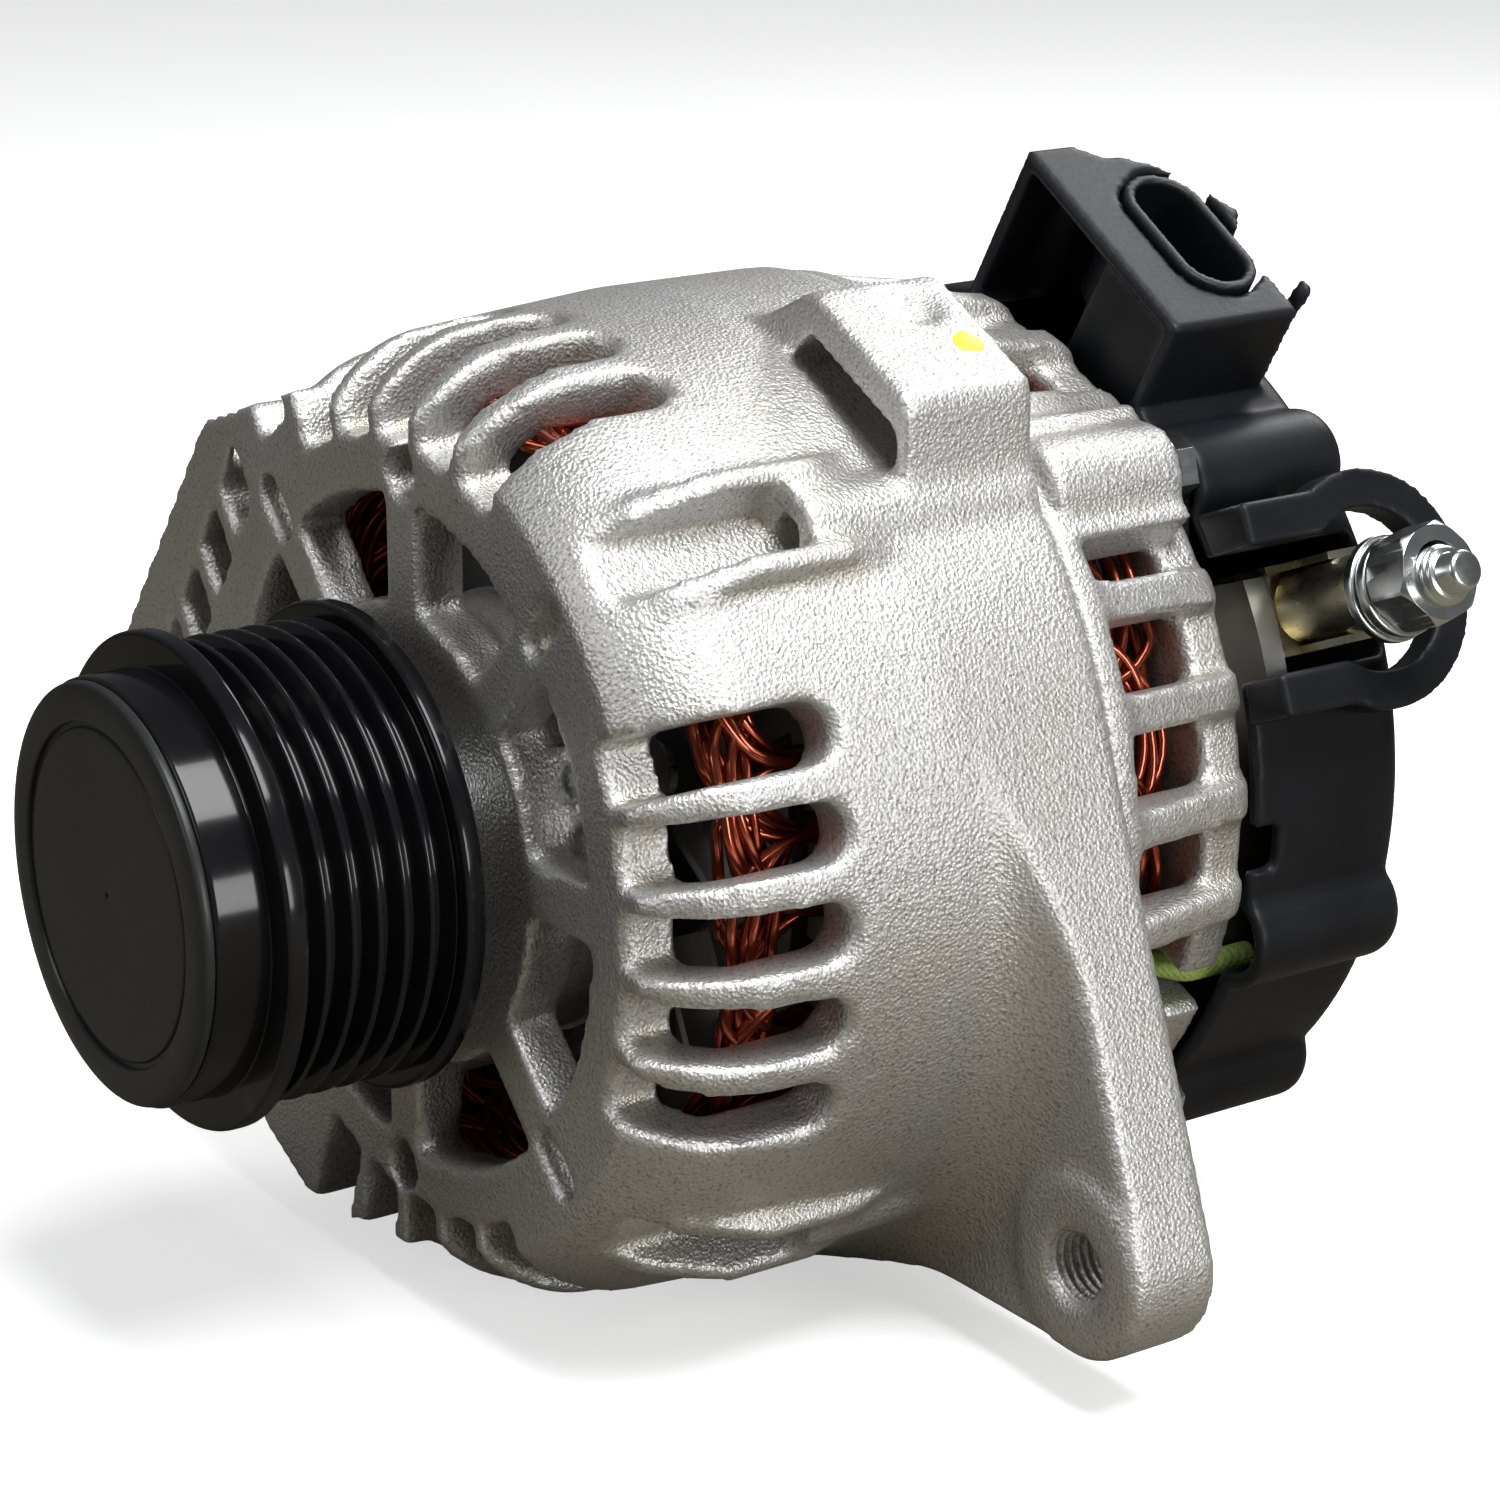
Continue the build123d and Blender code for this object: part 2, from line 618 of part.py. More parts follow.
def bearing(spec, y0):
    """The pieces of a deep groove ball bearing whose front face is at y0."""
    bore, outer, width, ball_r, count = spec
    depth = (outer - bore) * RACE_SHARE
    pitch_r = (outer + bore) / 2
    middle = y0 + width / 2
    track = revolve(Pos(pitch_r, middle) * Circle(ball_r + ROLL), Axis.Y)
    outer_race = sleeve(outer, outer - depth, y0, y0 + width) - track
    inner_race = sleeve(bore + depth, bore + FIT, y0, y0 + width) - track
    balls = [at(360 / count * i) * (Pos(pitch_r, middle, 0) * Sphere(ball_r)) for i in range(count)]
    half = ball_r + CAGE_MARGIN
    cage = sleeve(pitch_r + CAGE_T / 2, pitch_r - CAGE_T / 2, middle - half, middle + half)
    for i in range(count):
        pocket = Rot(0, 90, 0) * Cylinder(ball_r + ROLL, 3 * CAGE_T)
        cage = cage - at(360 / count * i) * (Pos(pitch_r, middle, 0) * pocket)
    shields = []
    for start in (y0 + SHIELD_INSET, y0 + width - SHIELD_INSET - SHIELD_T):
        shields.append(sleeve(outer - depth - FIT, bore + depth + PLAY, start, start + SHIELD_T))
    return {"outer_race": outer_race, "inner_race": inner_race, "balls": balls, "cage": cage,
            "shields": shields}


def bearing_retainer():
    plate = sleeve(RETAINER_R, FRONT_BRG[1] - RETAINER_LAP, RETAINER_Y, RETAINER_TOP_Y)
    for azimuth in RETAINER_AZ:
        plate = plate + at(azimuth) * rod(RETAINER_BOSS_R, RETAINER_Y, RETAINER_TOP_Y, x=RETAINER_PCR)
    hole = rod(RETAINER_SCREW_R + 4 * FIT, RETAINER_Y - THROUGH, RETAINER_TOP_Y + THROUGH, x=RETAINER_PCR)
    for azimuth in RETAINER_AZ:
        plate = plate - at(azimuth) * hole
    return plate


def retainer_screws():
    shank = rod(RETAINER_SCREW_R, RETAINER_Y - RETAINER_SCREW_L, RETAINER_TOP_Y, x=RETAINER_PCR)
    head = rod(RETAINER_HEAD_R, RETAINER_TOP_Y, RETAINER_TOP_Y + RETAINER_HEAD_T, x=RETAINER_PCR)
    return [at(azimuth) * (shank + head) for azimuth in RETAINER_AZ]


# ---------------------------------------------------------------- drive end bracket

def ear_outline():
    """Tangent outline from the body to the threaded ear, with a hollow lower side."""
    ear = Pos(EAR_X, EAR_Z) * Circle(EAR_TIP_R)
    azimuth = math.degrees(math.atan2(EAR_Z, EAR_X))
    reach = math.hypot(EAR_X, EAR_Z)
    lean = math.degrees(math.acos((BODY_R - EAR_TIP_R) / reach))
    ends = (polar(EAR_TIP_R, azimuth + lean), polar(EAR_TIP_R, azimuth - EAR_TURN_AZ))
    tip = [(EAR_X + x, EAR_Z + z) for x, z in ends]
    web = polygon((0, 0), polar(BODY_R, azimuth + lean), tip[0], (EAR_X, EAR_Z), tip[1],
                  polar(BODY_R + EAR_KNEE[0], azimuth - EAR_KNEE[1]), polar(BODY_R, azimuth - EAR_HEEL_AZ))
    return ear + web


def ear_flare():
    """Hollow blend from the body to the front of the ear's plate."""
    y = SPLIT_Y - EAR_T
    bend = EAR_FILLET * (1 - math.sqrt(0.5))
    arc = ThreePointArc((BODY_R, y - EAR_FILLET), (BODY_R + bend, y - bend), (BODY_R + EAR_FILLET, y))
    rest = Polyline((BODY_R + EAR_FILLET, y), (BODY_R + EAR_FILLET, y + MERGE),
                    (BODY_R - 2 * MERGE, y + MERGE), (BODY_R - 2 * MERGE, y - EAR_FILLET),
                    (BODY_R, y - EAR_FILLET))
    return revolve(make_face(arc + rest), Axis.Y) & prism(ear_outline(), y - EAR_FILLET - MERGE, y + MERGE)


def pivot_outline(grow=0.0):
    """Hull of the eye, two rounded corners and two feet on the face of the body."""
    rounds = [Pos(PIVOT_X, PIVOT_Z) * Circle(PIVOT_TIP_R + grow)]
    for side in (-1, 1):
        corner = polar(PIVOT_CORNER_PCR, PIVOT_AZ + side * PIVOT_CORNER_AZ)
        foot = polar(PIVOT_FOOT_PCR, PIVOT_AZ + side * PIVOT_FOOT_AZ)
        rounds += [Pos(*corner) * Circle(PIVOT_CORNER_R + grow), Pos(*foot) * Circle(PIVOT_FOOT_R + grow)]
    return make_hull([edge for shape in rounds for edge in shape.edges()])


def lozenge(x, z):
    w, h = LOZENGE_W / 2, LOZENGE_H / 2
    return ((x - w, z), (x, z - h), (x + w, z), (x, z + h))


def lozenge_places():
    """A staggered grid, kept where a whole lozenge stands clear of the rim, the eye and the body."""
    inside = pivot_outline(-PIVOT_RIM_W + LOZENGE_EDGE).face()
    step_x = (LOZENGE_W + LOZENGE_RIB) * LOZENGE_STEP
    step_z = (LOZENGE_H + LOZENGE_RIB) * LOZENGE_STEP
    for row in LOZENGE_GRID:
        for column in LOZENGE_GRID:
            x, z = LOZENGE_X - step_x * column, LOZENGE_Z - step_z * row
            clear = math.hypot(x - PIVOT_X, z - PIVOT_Z) > PIVOT_TIP_R + LOZENGE_H / 2
            if (row + column) % 2 == 0 and clear and math.hypot(x, z) > FRONT_R + MERGE:
                if all(inside.is_inside(Vector(*corner)) for corner in lozenge(x, z)):
                    yield x, z


def pivot_ear():
    """The wide lattice web on the left, with its rim and the long eye at its tip."""
    outline = pivot_outline()
    web = prism(outline, FACE_Y, FACE_Y + PIVOT_WEB_T)
    rim = prism(outline - pivot_outline(-PIVOT_RIM_W), FACE_Y, FACE_Y + PIVOT_RIM_L)
    return web + rim + rod(PIVOT_TIP_R, FACE_Y, FACE_Y + PIVOT_L, x=PIVOT_X, z=PIVOT_Z)


def lug_point(d, t):
    """The XZ point at height d along the lug's slope and t across it."""
    a = math.radians(LUG_AZ)
    return (d * math.cos(a) - t * math.sin(a), d * math.sin(a) + t * math.cos(a))


def lug_side(d, inset):
    """The XZ point at height d on the lug's upright side, or inset from it."""
    a = math.radians(LUG_AZ)
    return lug_point(d, (d * math.cos(a) - LUG_SIDE_X + inset) / math.sin(a))


def lug():
    outline = polygon((LUG_SIDE_X, LUG_FOOT_X), lug_side(LUG_TOP, 0), lug_point(LUG_TOP, LUG_LEFT_T),
                      polar(BODY_R - LUG_FOOT_DROP[0], LUG_FOOT_AZ),
                      polar(BODY_R - LUG_FOOT_DROP[1], LUG_FOOT_AZ), (LUG_FOOT_X, LUG_FOOT_X))
    block = prism(outline, SPLIT_Y - LUG_L, SPLIT_Y)
    upper = [e for e in block.edges().filter_by(Axis.Y) if e.center().Z > FRONT_R]
    block = fillet(upper, LUG_ROUND)
    top = LUG_TOP - LUG_SLOT_TOP
    low = top - LUG_SLOT_H
    pocket = polygon(lug_side(low, LUG_WALL), lug_side(top, LUG_WALL),
                     lug_point(top, LUG_LEFT_T - LUG_POCKET_LEAN), lug_point(low, LUG_LEFT_T))
    dish = Rot(0, 90, 0) * Cylinder(LUG_DISH_R, 2 * LUG_DISH_T)
    dish = Pos(LUG_TOP, SPLIT_Y - LUG_DISH_SET[0], LUG_LEFT_T - LUG_DISH_SET[1]) * dish
    dish = dish & brick(LUG_TOP - LUG_L, LUG_TOP + LUG_L, SPLIT_Y - LUG_DISH_OPEN, SPLIT_Y, -LUG_L, LUG_L)
    pocket_end = SPLIT_Y - LUG_L + LUG_SLOT_DEPTH
    return block, prism(pocket, SPLIT_Y - LUG_L - THROUGH, pocket_end) + at(LUG_AZ) * dish


def bracket_blank():
    """Outer form with its hollow: a cup that is open towards the rear."""
    mid_y = FACE_Y + SHOULDER_Y
    outer = Polyline((0, SPLIT_Y), (BODY_R, SPLIT_Y), (BODY_R, BARREL_Y), (SHOULDER_R, mid_y))
    curve = TangentArc((SHOULDER_R, mid_y), (FRONT_R, FACE_Y), tangent=(-SHOULDER_LEAN, -1))
    close = Polyline((FRONT_R, FACE_Y), (0, FACE_Y), (0, SPLIT_Y))
    return revolve(make_face(outer + curve + close), Axis.Y)


def bracket_hollow():
    inside_y = FACE_Y + FACE_T
    return turned([(0, inside_y), (HOLLOW_R - HOLLOW_CORNER, inside_y),
                   (HOLLOW_R, inside_y + HOLLOW_CORNER), (HOLLOW_R, CORE_Y), (CAVITY_R, CORE_Y),
                   (CAVITY_R, SPLIT_Y + THROUGH), (0, SPLIT_Y + THROUGH)])


def face_windows():
    """Openings between the spokes, as wedges with square ends."""
    inner = FRONT_BRG[1] + SEAT_WALL + SPOKE_FOOT
    ring = sleeve(RING_IN_R, inner, FACE_Y - THROUGH, FACE_Y + FACE_T + THROUGH)
    for azimuth in SPOKE_AZ:
        ring = ring - at(azimuth) * brick(inner - SPOKE_W, RING_IN_R + SPOKE_W, FACE_Y - 2 * THROUGH,
                                          FACE_Y + FACE_T + 2 * THROUGH, -SPOKE_W / 2, SPOKE_W / 2)
    return ring


def side_slot(azimuth, length, deep_y, floor_r):
    """A vent slot: a pocket over the shoulder, then a floor at a radius."""
    half = SLOT_W / 2
    start = SLOT_START_Y - SLOT_LEAD
    end = SLOT_START_Y + length
    outside = BODY_R + RIDGE_ROOT
    profile = polygon((floor_r - SLOT_RAMP, start), (floor_r - SLOT_RAMP, deep_y - SLOT_RAMP),
                      (floor_r, deep_y), (floor_r, end), (outside, end), (outside, start))
    slab = Pos(0, 0, -half) * extrude(profile, amount=SLOT_W)
    long_edges = [e for e in slab.edges().filter_by(Axis.X) if e.center().Y > end - FIT]
    slab = fillet(long_edges, half - PLAY)
    return at(azimuth) * slab


def slot_azimuths():
    for middle in GROUP_AZ:
        for i in range(SLOT_COUNT):
            yield middle + (i - (SLOT_COUNT - 1) / 2) * SLOT_PITCH


def ridge_side():
    """Side view of a rib that guards the bolt channel, in (radius, y)."""
    shoulder = FACE_Y + SHOULDER_Y
    start, end = FACE_Y + 2 * MERGE, BOLT_TIP_Y + RIDGE_TAIL
    return polygon((FRONT_R - RIDGE_ROOT, start), (FRONT_R + MERGE, start),
                   (SHOULDER_R - RIDGE_LOW, shoulder - RIDGE_BEND[0]), (RIDGE_R, shoulder + RIDGE_BEND[1]),
                   (RIDGE_R, BOLT_TIP_Y), (BODY_R - MERGE, end), (FRONT_R - RIDGE_ROOT, end))


def drive_end_bracket():
    lug_block, lug_cuts = lug()
    body = bracket_blank() + prism(ear_outline(), SPLIT_Y - EAR_T, SPLIT_Y) + ear_flare()
    body = body + rod(EAR_TIP_R - EAR_BOSS_STEP, EAR_FRONT_Y, SPLIT_Y, x=EAR_X,
                      z=EAR_Z) + pivot_ear() + lug_block
    for azimuth in BOLT_AZIMUTHS:
        body = body + at(azimuth) * rod(BOLT_BOSS_R, BOLT_TIP_Y - BOLT_BOSS_L, SPLIT_Y, x=BOLT_PCR)
        for side in (-1, 1):
            middle = side * (CHANNEL_W + RIDGE_W) / 2
            body = body + at(azimuth) * Pos(0, 0, middle - RIDGE_W / 2) * extrude(ridge_side(),
                                                                                  amount=RIDGE_W)
    body = body - bracket_hollow() - lug_cuts
    seat_r = FRONT_BRG[1] + FIT
    body = body + sleeve(seat_r + SEAT_WALL, seat_r - THROUGH, FACE_Y, RETAINER_Y)
    for azimuth in RETAINER_AZ:
        body = body + at(azimuth) * rod(RETAINER_BOSS_R, FACE_Y, RETAINER_Y, x=RETAINER_PCR)
    body = body - face_windows()
    body = body - rod(seat_r, FRONT_BRG_Y, RETAINER_Y + THROUGH)
    body = body - rod(COLLAR_R + COLLAR_GAP, FACE_Y - THROUGH, FRONT_BRG_Y + THROUGH)
    screw_hole = rod(RETAINER_SCREW_R + FIT, RETAINER_Y - RETAINER_SCREW_L - THROUGH, RETAINER_Y + THROUGH,
                     x=RETAINER_PCR)
    for azimuth in RETAINER_AZ:
        body = body - at(azimuth) * screw_hole
    for azimuth in slot_azimuths():
        body = body - side_slot(azimuth, SLOT_L, FACE_Y + FACE_T + SLOT_DEEP, HOLLOW_R - SLOT_BREAK)
    for azimuth in BLIND_AZ:
        body = body - side_slot(azimuth, SLOT_L - BLIND_SHORT, FACE_Y + FACE_T, BLIND_FLOOR_R)
    for azimuth in BOLT_AZIMUTHS:
        channel = brick(CHANNEL_FLOOR_R, BODY_R + RIDGE_ROOT, FACE_Y + SHOULDER_Y - CHANNEL_LEAD,
                        BOLT_TIP_Y - BOLT_BOSS_L, -CHANNEL_W / 2, CHANNEL_W / 2)
        body = body - at(azimuth) * channel
        body = body - at(azimuth) * rod(BOLT_R + FIT, CORE_Y - BOLT_HOLE_L, SPLIT_Y + THROUGH, x=BOLT_PCR)
    for azimuth in SPOKE_POCKET_AZ:
        pocket = Pos(FACE_HOLE_PCR + MERGE, 0) * SlotOverall(SPOKE_POCKET_L, SPOKE_POCKET_W)
        body = body - at(azimuth) * prism(pocket, FACE_Y - THROUGH, FACE_Y + SPOKE_POCKET_T)
    for azimuth in FACE_HOLE_AZ:
        body = body - at(azimuth) * rod(FACE_HOLE_R, FACE_Y - THROUGH, FACE_Y + FACE_T + FACE_HOLE_DEEP,
                                        x=FACE_HOLE_PCR)
    for x, z in lozenge_places():
        body = body - prism(polygon(*lozenge(x, z)), FACE_Y - THROUGH, FACE_Y + PIVOT_WEB_T + THROUGH)
    sink = Rot(90, 0, 0) * Cone(EAR_HOLE_R - EAR_SINK_LAP, EAR_SINK_R, EAR_SINK_T + 2 * EAR_SINK_LAP)
    body = body - Pos(EAR_X, EAR_FRONT_Y + EAR_SINK_T / 2, EAR_Z) * sink
    body = body - rod(EAR_HOLE_R, EAR_FRONT_Y - THROUGH, SPLIT_Y + THROUGH, x=EAR_X, z=EAR_Z)
    return body - rod(PIVOT_BORE_R, FACE_Y - THROUGH, FACE_Y + PIVOT_L + THROUGH, x=PIVOT_X, z=PIVOT_Z)


# ---------------------------------------------------------------- slip ring end bracket

def fin_side():
    """Side view of one cooling fin, in (radius, y)."""
    start = SPLIT_Y + TAIL_FLANGE_L - MERGE
    return polygon((FIN_ROOT_R, start), (TAIL_FLANGE_R - FIN_FOOT_STEP, start),
                   (TAIL_SIDE_R, TAIL_FACE_Y - FIN_TIP[1]), (TAIL_SIDE_R - FIN_TIP[0], TAIL_FACE_Y),
                   (FIN_ROOT_R, TAIL_FACE_Y))


def apart(azimuth, others):
    """Smallest angle between an azimuth and a list of others."""
    return min(abs((azimuth - other + 180) % 360 - 180) for other in others)


def slip_ring_end_bracket():
    wall_y = TAIL_FACE_Y - TAIL_WALL_T
    seat_r = REAR_BRG[1] + FIT
    spigot_r = CAVITY_R - ROLL
    block_y = SPLIT_Y + TAIL_BLOCK_STEP
    body = sleeve(TAIL_FLANGE_R, spigot_r - SPIGOT_T, SPLIT_Y, SPLIT_Y + TAIL_FLANGE_L)
    body = body + sleeve(spigot_r, spigot_r - SPIGOT_T, CORE_END_Y, SPLIT_Y + THROUGH)
    for azimuth in BOLT_AZIMUTHS:
        body = body + at(azimuth) * rod(BOLT_BOSS_R + TAIL_BOSS_EXTRA, block_y, BOLT_SEAT_Y, x=BOLT_PCR)
        block = brick(FIN_ROOT_R, BOLT_PCR + TAIL_BLOCK_RISE, block_y, BOLT_SEAT_Y, -TAIL_BLOCK_W / 2,
                      TAIL_BLOCK_W / 2)
        body = body + at(azimuth) * block
    fin = Pos(0, 0, -FIN_W / 2) * extrude(fin_side(), amount=FIN_W)
    fin = fillet(fin.edges().filter_by(Axis.Z).sort_by(Axis.Y)[-2:], FIN_ROUND)
    for i in range(FIN_COUNT):
        azimuth = FIN_AZ + 360 / FIN_COUNT * i
        if apart(azimuth, BOLT_AZIMUTHS) > FIN_BOLT_AZ and apart(azimuth, LEAD_AZ) > FIN_LEAD_AZ:
            body = body + at(azimuth) * fin
    crown_end = CORE_END_Y + CROWN_REAR_L
    body = body - rod(CROWN_OUT_R + PLAY, CORE_END_Y - THROUGH, crown_end + THROUGH)
    body = body + sleeve(TAIL_RING_R, TAIL_VENT_OUT, TAIL_FACE_Y - TAIL_RIM, TAIL_FACE_Y)
    wall = sleeve(TAIL_VENT_OUT + MERGE, REAR_BRG[0] + TAIL_LIP, wall_y, TAIL_FACE_Y)
    vents = sleeve(TAIL_VENT_OUT, TAIL_VENT_IN, wall_y - THROUGH, TAIL_FACE_Y + THROUGH)
    for i in range(TAIL_VENTS):
        spoke = brick(TAIL_VENT_IN - TAIL_SPOKE_W, TAIL_VENT_OUT + TAIL_SPOKE_W, wall_y - 2 * THROUGH,
                      TAIL_FACE_Y + 2 * THROUGH, -TAIL_SPOKE_W / 2, TAIL_SPOKE_W / 2)
        vents = vents - at(360 / TAIL_VENTS * i) * spoke
    body = body + (wall - vents) + sleeve(seat_r + TAIL_SEAT_WALL, seat_r - THROUGH, REAR_BRG_Y - THROUGH,
                                          TAIL_FACE_Y)
    body = body - rod(seat_r, REAR_BRG_Y - 2, REAR_BRG_Y + REAR_BRG[2])
    for azimuth in RECTIFIER_SCREW_AZ:
        body = body + at(azimuth) * rod(SCREW_BOSS_R, wall_y, TAIL_FACE_Y, x=RECTIFIER_SCREW_PCR)
    for azimuth in COVER_STUD_AZ:
        body = body + at(azimuth) * rod(STUD_BOSS_R, wall_y, TAIL_FACE_Y, x=COVER_STUD_PCR)
    for azimuth in BOLT_AZIMUTHS:
        body = body - at(azimuth) * rod(BOLT_R + FIT, CORE_END_Y - THROUGH, TAIL_FACE_Y + THROUGH,
                                        x=BOLT_PCR)
        body = body - at(azimuth) * rod(BOLT_FLANGE_R + PLAY, BOLT_SEAT_Y, TAIL_FACE_Y + THROUGH,
                                        x=BOLT_PCR)
    for azimuth in RECTIFIER_SCREW_AZ:
        body = body - at(azimuth) * rod(RECTIFIER_SCREW_R + FIT, wall_y - THROUGH, TAIL_FACE_Y + THROUGH,
                                        x=RECTIFIER_SCREW_PCR)
    for azimuth in COVER_STUD_AZ:
        body = body - at(azimuth) * rod(COVER_STUD_R + FIT, wall_y - THROUGH, TAIL_FACE_Y + THROUGH,
                                        x=COVER_STUD_PCR)
    for azimuth in LEAD_AZ:
        notch = brick(CROWN_OUT_R - LEAD_NOTCH_DEPTH, BODY_R, SPLIT_Y + TAIL_FLANGE_L + LEAD_NOTCH_STEP,
                      TAIL_FACE_Y + THROUGH, -LEAD_NOTCH_W / 2, LEAD_NOTCH_W / 2)
        body = body - at(azimuth) * notch
    return body


def through_bolts():
    bolts = []
    for azimuth in BOLT_AZIMUTHS:
        shank = rod(BOLT_R, BOLT_TIP_Y, BOLT_SEAT_Y, x=BOLT_PCR)
        tip = shank.edges().sort_by(Axis.Y)[0]
        head = Pos(BOLT_PCR, 0, 0) * hexagon(BOLT_HEAD_AF, BOLT_SEAT_Y, BOLT_SEAT_Y + BOLT_HEAD_T)
        flange = rod(BOLT_FLANGE_R, BOLT_SEAT_Y, BOLT_SEAT_Y + BOLT_FLANGE_T, x=BOLT_PCR)
        bolts.append(at(azimuth) * (chamfer(tip, BOLT_TIP_CHAMFER) + head + flange))
    return bolts


# ---------------------------------------------------------------- stator

def stator_slots(width, r_in, r_out, y0, y1):
    return [at(360 / SLOTS * i) * brick(r_in, r_out, y0, y1, -width / 2, width / 2) for i in range(SLOTS)]


def stator_core():
    core = sleeve(CAVITY_R - FIT, STATOR_BORE_R, CORE_Y, CORE_END_Y)
    cuts = stator_slots(STATOR_SLOT_W, STATOR_BORE_R - THROUGH, SLOT_BOTTOM_R, CORE_Y - THROUGH,
                        CORE_END_Y + THROUGH)
    return core - Compound(cuts)


def stator_winding():
    """End crowns joined by one bar for each slot."""
    front_y = CORE_Y - CROWN_FRONT_L
    rear_y = CORE_END_Y + CROWN_REAR_L
    front = sleeve(CROWN_OUT_R, CROWN_IN_R, front_y, CORE_Y - PLAY)
    rear = sleeve(CROWN_OUT_R, CROWN_IN_R, CORE_END_Y + PLAY, rear_y)
    front = fillet([e for e in front.edges().filter_by(GeomType.CIRCLE) if e.center().Y < front_y + FIT],
                   CROWN_ROUND)
    rear = fillet([e for e in rear.edges().filter_by(GeomType.CIRCLE) if e.center().Y > rear_y - FIT],
                  CROWN_ROUND)
    bars = stator_slots(STATOR_SLOT_W - 2 * WIRE_GAP, CROWN_IN_R + BAR_IN, SLOT_BOTTOM_R - WIRE_GAP,
                        CORE_Y - MERGE, CORE_END_Y + MERGE)
    return front + rear + bars


def phase_leads():
    """Sleeved leads from the rear crown, through the bracket's notches, to the rectifier's edge."""
    crown_end = CORE_END_Y + CROWN_REAR_L
    crown_r = (CROWN_IN_R + CROWN_OUT_R) / 2
    end_r = SINK_OUT_R + LEAD_R + PLAY
    route = FilletPolyline((crown_r, crown_end, 0), (crown_r, crown_end + LEAD_RISE[0], 0),
                           (end_r, crown_end + LEAD_RISE[1], 0), (end_r, LEAD_END_Y, 0), radius=LEAD_BEND_R)
    start = Plane(origin=route @ 0, z_dir=route % 0)
    lead = sweep(start * Circle(LEAD_R), path=route)
    return [at(azimuth) * lead for azimuth in LEAD_AZ]


# ---------------------------------------------------------------- rotor

def claw_pole(front):
    """One pole piece: half core, disc and tapering fingers. The rear one is turned by half a pitch."""
    tip = POLE_L - CLAW_SHORT
    half_base = ROTOR_R * math.tan(math.radians(CLAW_BASE_DEG / 2))
    half_tip = ROTOR_R * math.tan(math.radians(CLAW_TIP_DEG / 2))
    outline = polygon((0, -half_base), (POLE_DISC_T, -half_base), (tip, -half_tip), (tip, half_tip),
                      (POLE_DISC_T, half_base), (0, half_base))
    finger = extrude(Plane.YZ.offset(ROTOR_R - CLAW_T) * outline, amount=CLAW_T + 2 * THROUGH)
    root = brick(POLE_CORE_R, ROTOR_R, 0, POLE_DISC_T, -half_base, half_base)
    pole = rod(ROTOR_R - CLAW_T - DISC_STEP, 0, POLE_DISC_T) + rod(POLE_CORE_R, 0, POLE_L / 2)
    for i in range(CLAWS):
        pole = pole + at(360 / CLAWS * i) * (finger + root)
    pole = (pole & rod(ROTOR_R, -THROUGH, POLE_L)) - rod(POLE_SEAT_R + FIT, -THROUGH, POLE_L)
    if front:
        return Pos(0, POLE_Y, 0) * pole
    return Pos(0, POLE_END_Y, 0) * at(180 / CLAWS) * Rot(180, 0, 0) * pole


def coil_bobbin():
    y0 = POLE_Y + POLE_DISC_T + PLAY
    y1 = POLE_END_Y - POLE_DISC_T - PLAY
    flange_r = COIL_R + BOBBIN_RISE
    bobbin = sleeve(POLE_CORE_R + FIT + BOBBIN_T, POLE_CORE_R + FIT, y0, y1)
    bobbin = bobbin + sleeve(flange_r, POLE_CORE_R + FIT, y0, y0 + BOBBIN_T)
    return bobbin + sleeve(flange_r, POLE_CORE_R + FIT, y1 - BOBBIN_T, y1)


def field_coil():
    inset = POLE_DISC_T + PLAY + BOBBIN_T + FIT
    return sleeve(COIL_R, POLE_CORE_R + 2 * FIT + BOBBIN_T, POLE_Y + inset, POLE_END_Y - inset)


def fan(y_disc, height, direction):
    """A stamped fan: a ring disc with bent blades on the side that faces away from the poles."""
    y_near = min(y_disc, y_disc + direction * FAN_T)
    blade_y = min(y_disc, y_disc + direction * (FAN_T + height))
    wheel = sleeve(FAN_R - FAN_DISC_SET, POLE_SEAT_R + FIT, y_near, y_near + FAN_T)
    for i in range(FAN_BLADES):
        paddle = Box(PADDLE[0], height + FAN_T, PADDLE[1])
        tab = Box(TAB[0], FAN_T, TAB[1])
        middle = Pos(FAN_R - PADDLE[2], blade_y + (height + FAN_T) / 2, 0) * Rot(0, PADDLE_LEAN, 0) * paddle
        foot = Pos(FAN_R - TAB[2], y_near + FAN_T / 2, TAB[3]) * Rot(0, PADDLE_LEAN, 0) * tab
        wheel = wheel + at(360 / FAN_BLADES * i) * (middle + foot)
    wheel = wheel & rod(FAN_R, blade_y - THROUGH, blade_y + height + FAN_T + THROUGH)
    return wheel - rod(POLE_SEAT_R + FIT, blade_y - THROUGH, blade_y + height + FAN_T + THROUGH)


def slip_rings():
    return [sleeve(RING_R, RING_R - RING_T, y0, y1) for y0, y1 in RING_SPANS]


def slip_ring_insulator():
    first, second, end = RING_SPANS[0][0], RING_SPANS[1][0], RING_SPANS[1][1]
    rim_r = RING_R - RING_SLEEVE_STEP
    body = sleeve(RING_R - RING_T - FIT, TAIL_R + FIT, first - RING_SLEEVE_END, end + RING_SLEEVE_END)
    body = body + sleeve(rim_r, TAIL_R + FIT, first + RING_W + FIT, second - FIT)
    body = body + sleeve(rim_r, TAIL_R + FIT, first - RING_SLEEVE_END, first - FIT)
    return body + sleeve(rim_r, TAIL_R + FIT, end + FIT, end + RING_SLEEVE_END)


# ---------------------------------------------------------------- brushes and regulator

def brush(y_middle):
    block = brick(-BRUSH_D / 2, BRUSH_D / 2, y_middle - BRUSH_W / 2, y_middle + BRUSH_W / 2,
                  RING_R - BRUSH_DEPTH, BRUSH_TOP)
    return block - rod(RING_R + PLAY, y_middle - BRUSH_W, y_middle + BRUSH_W)


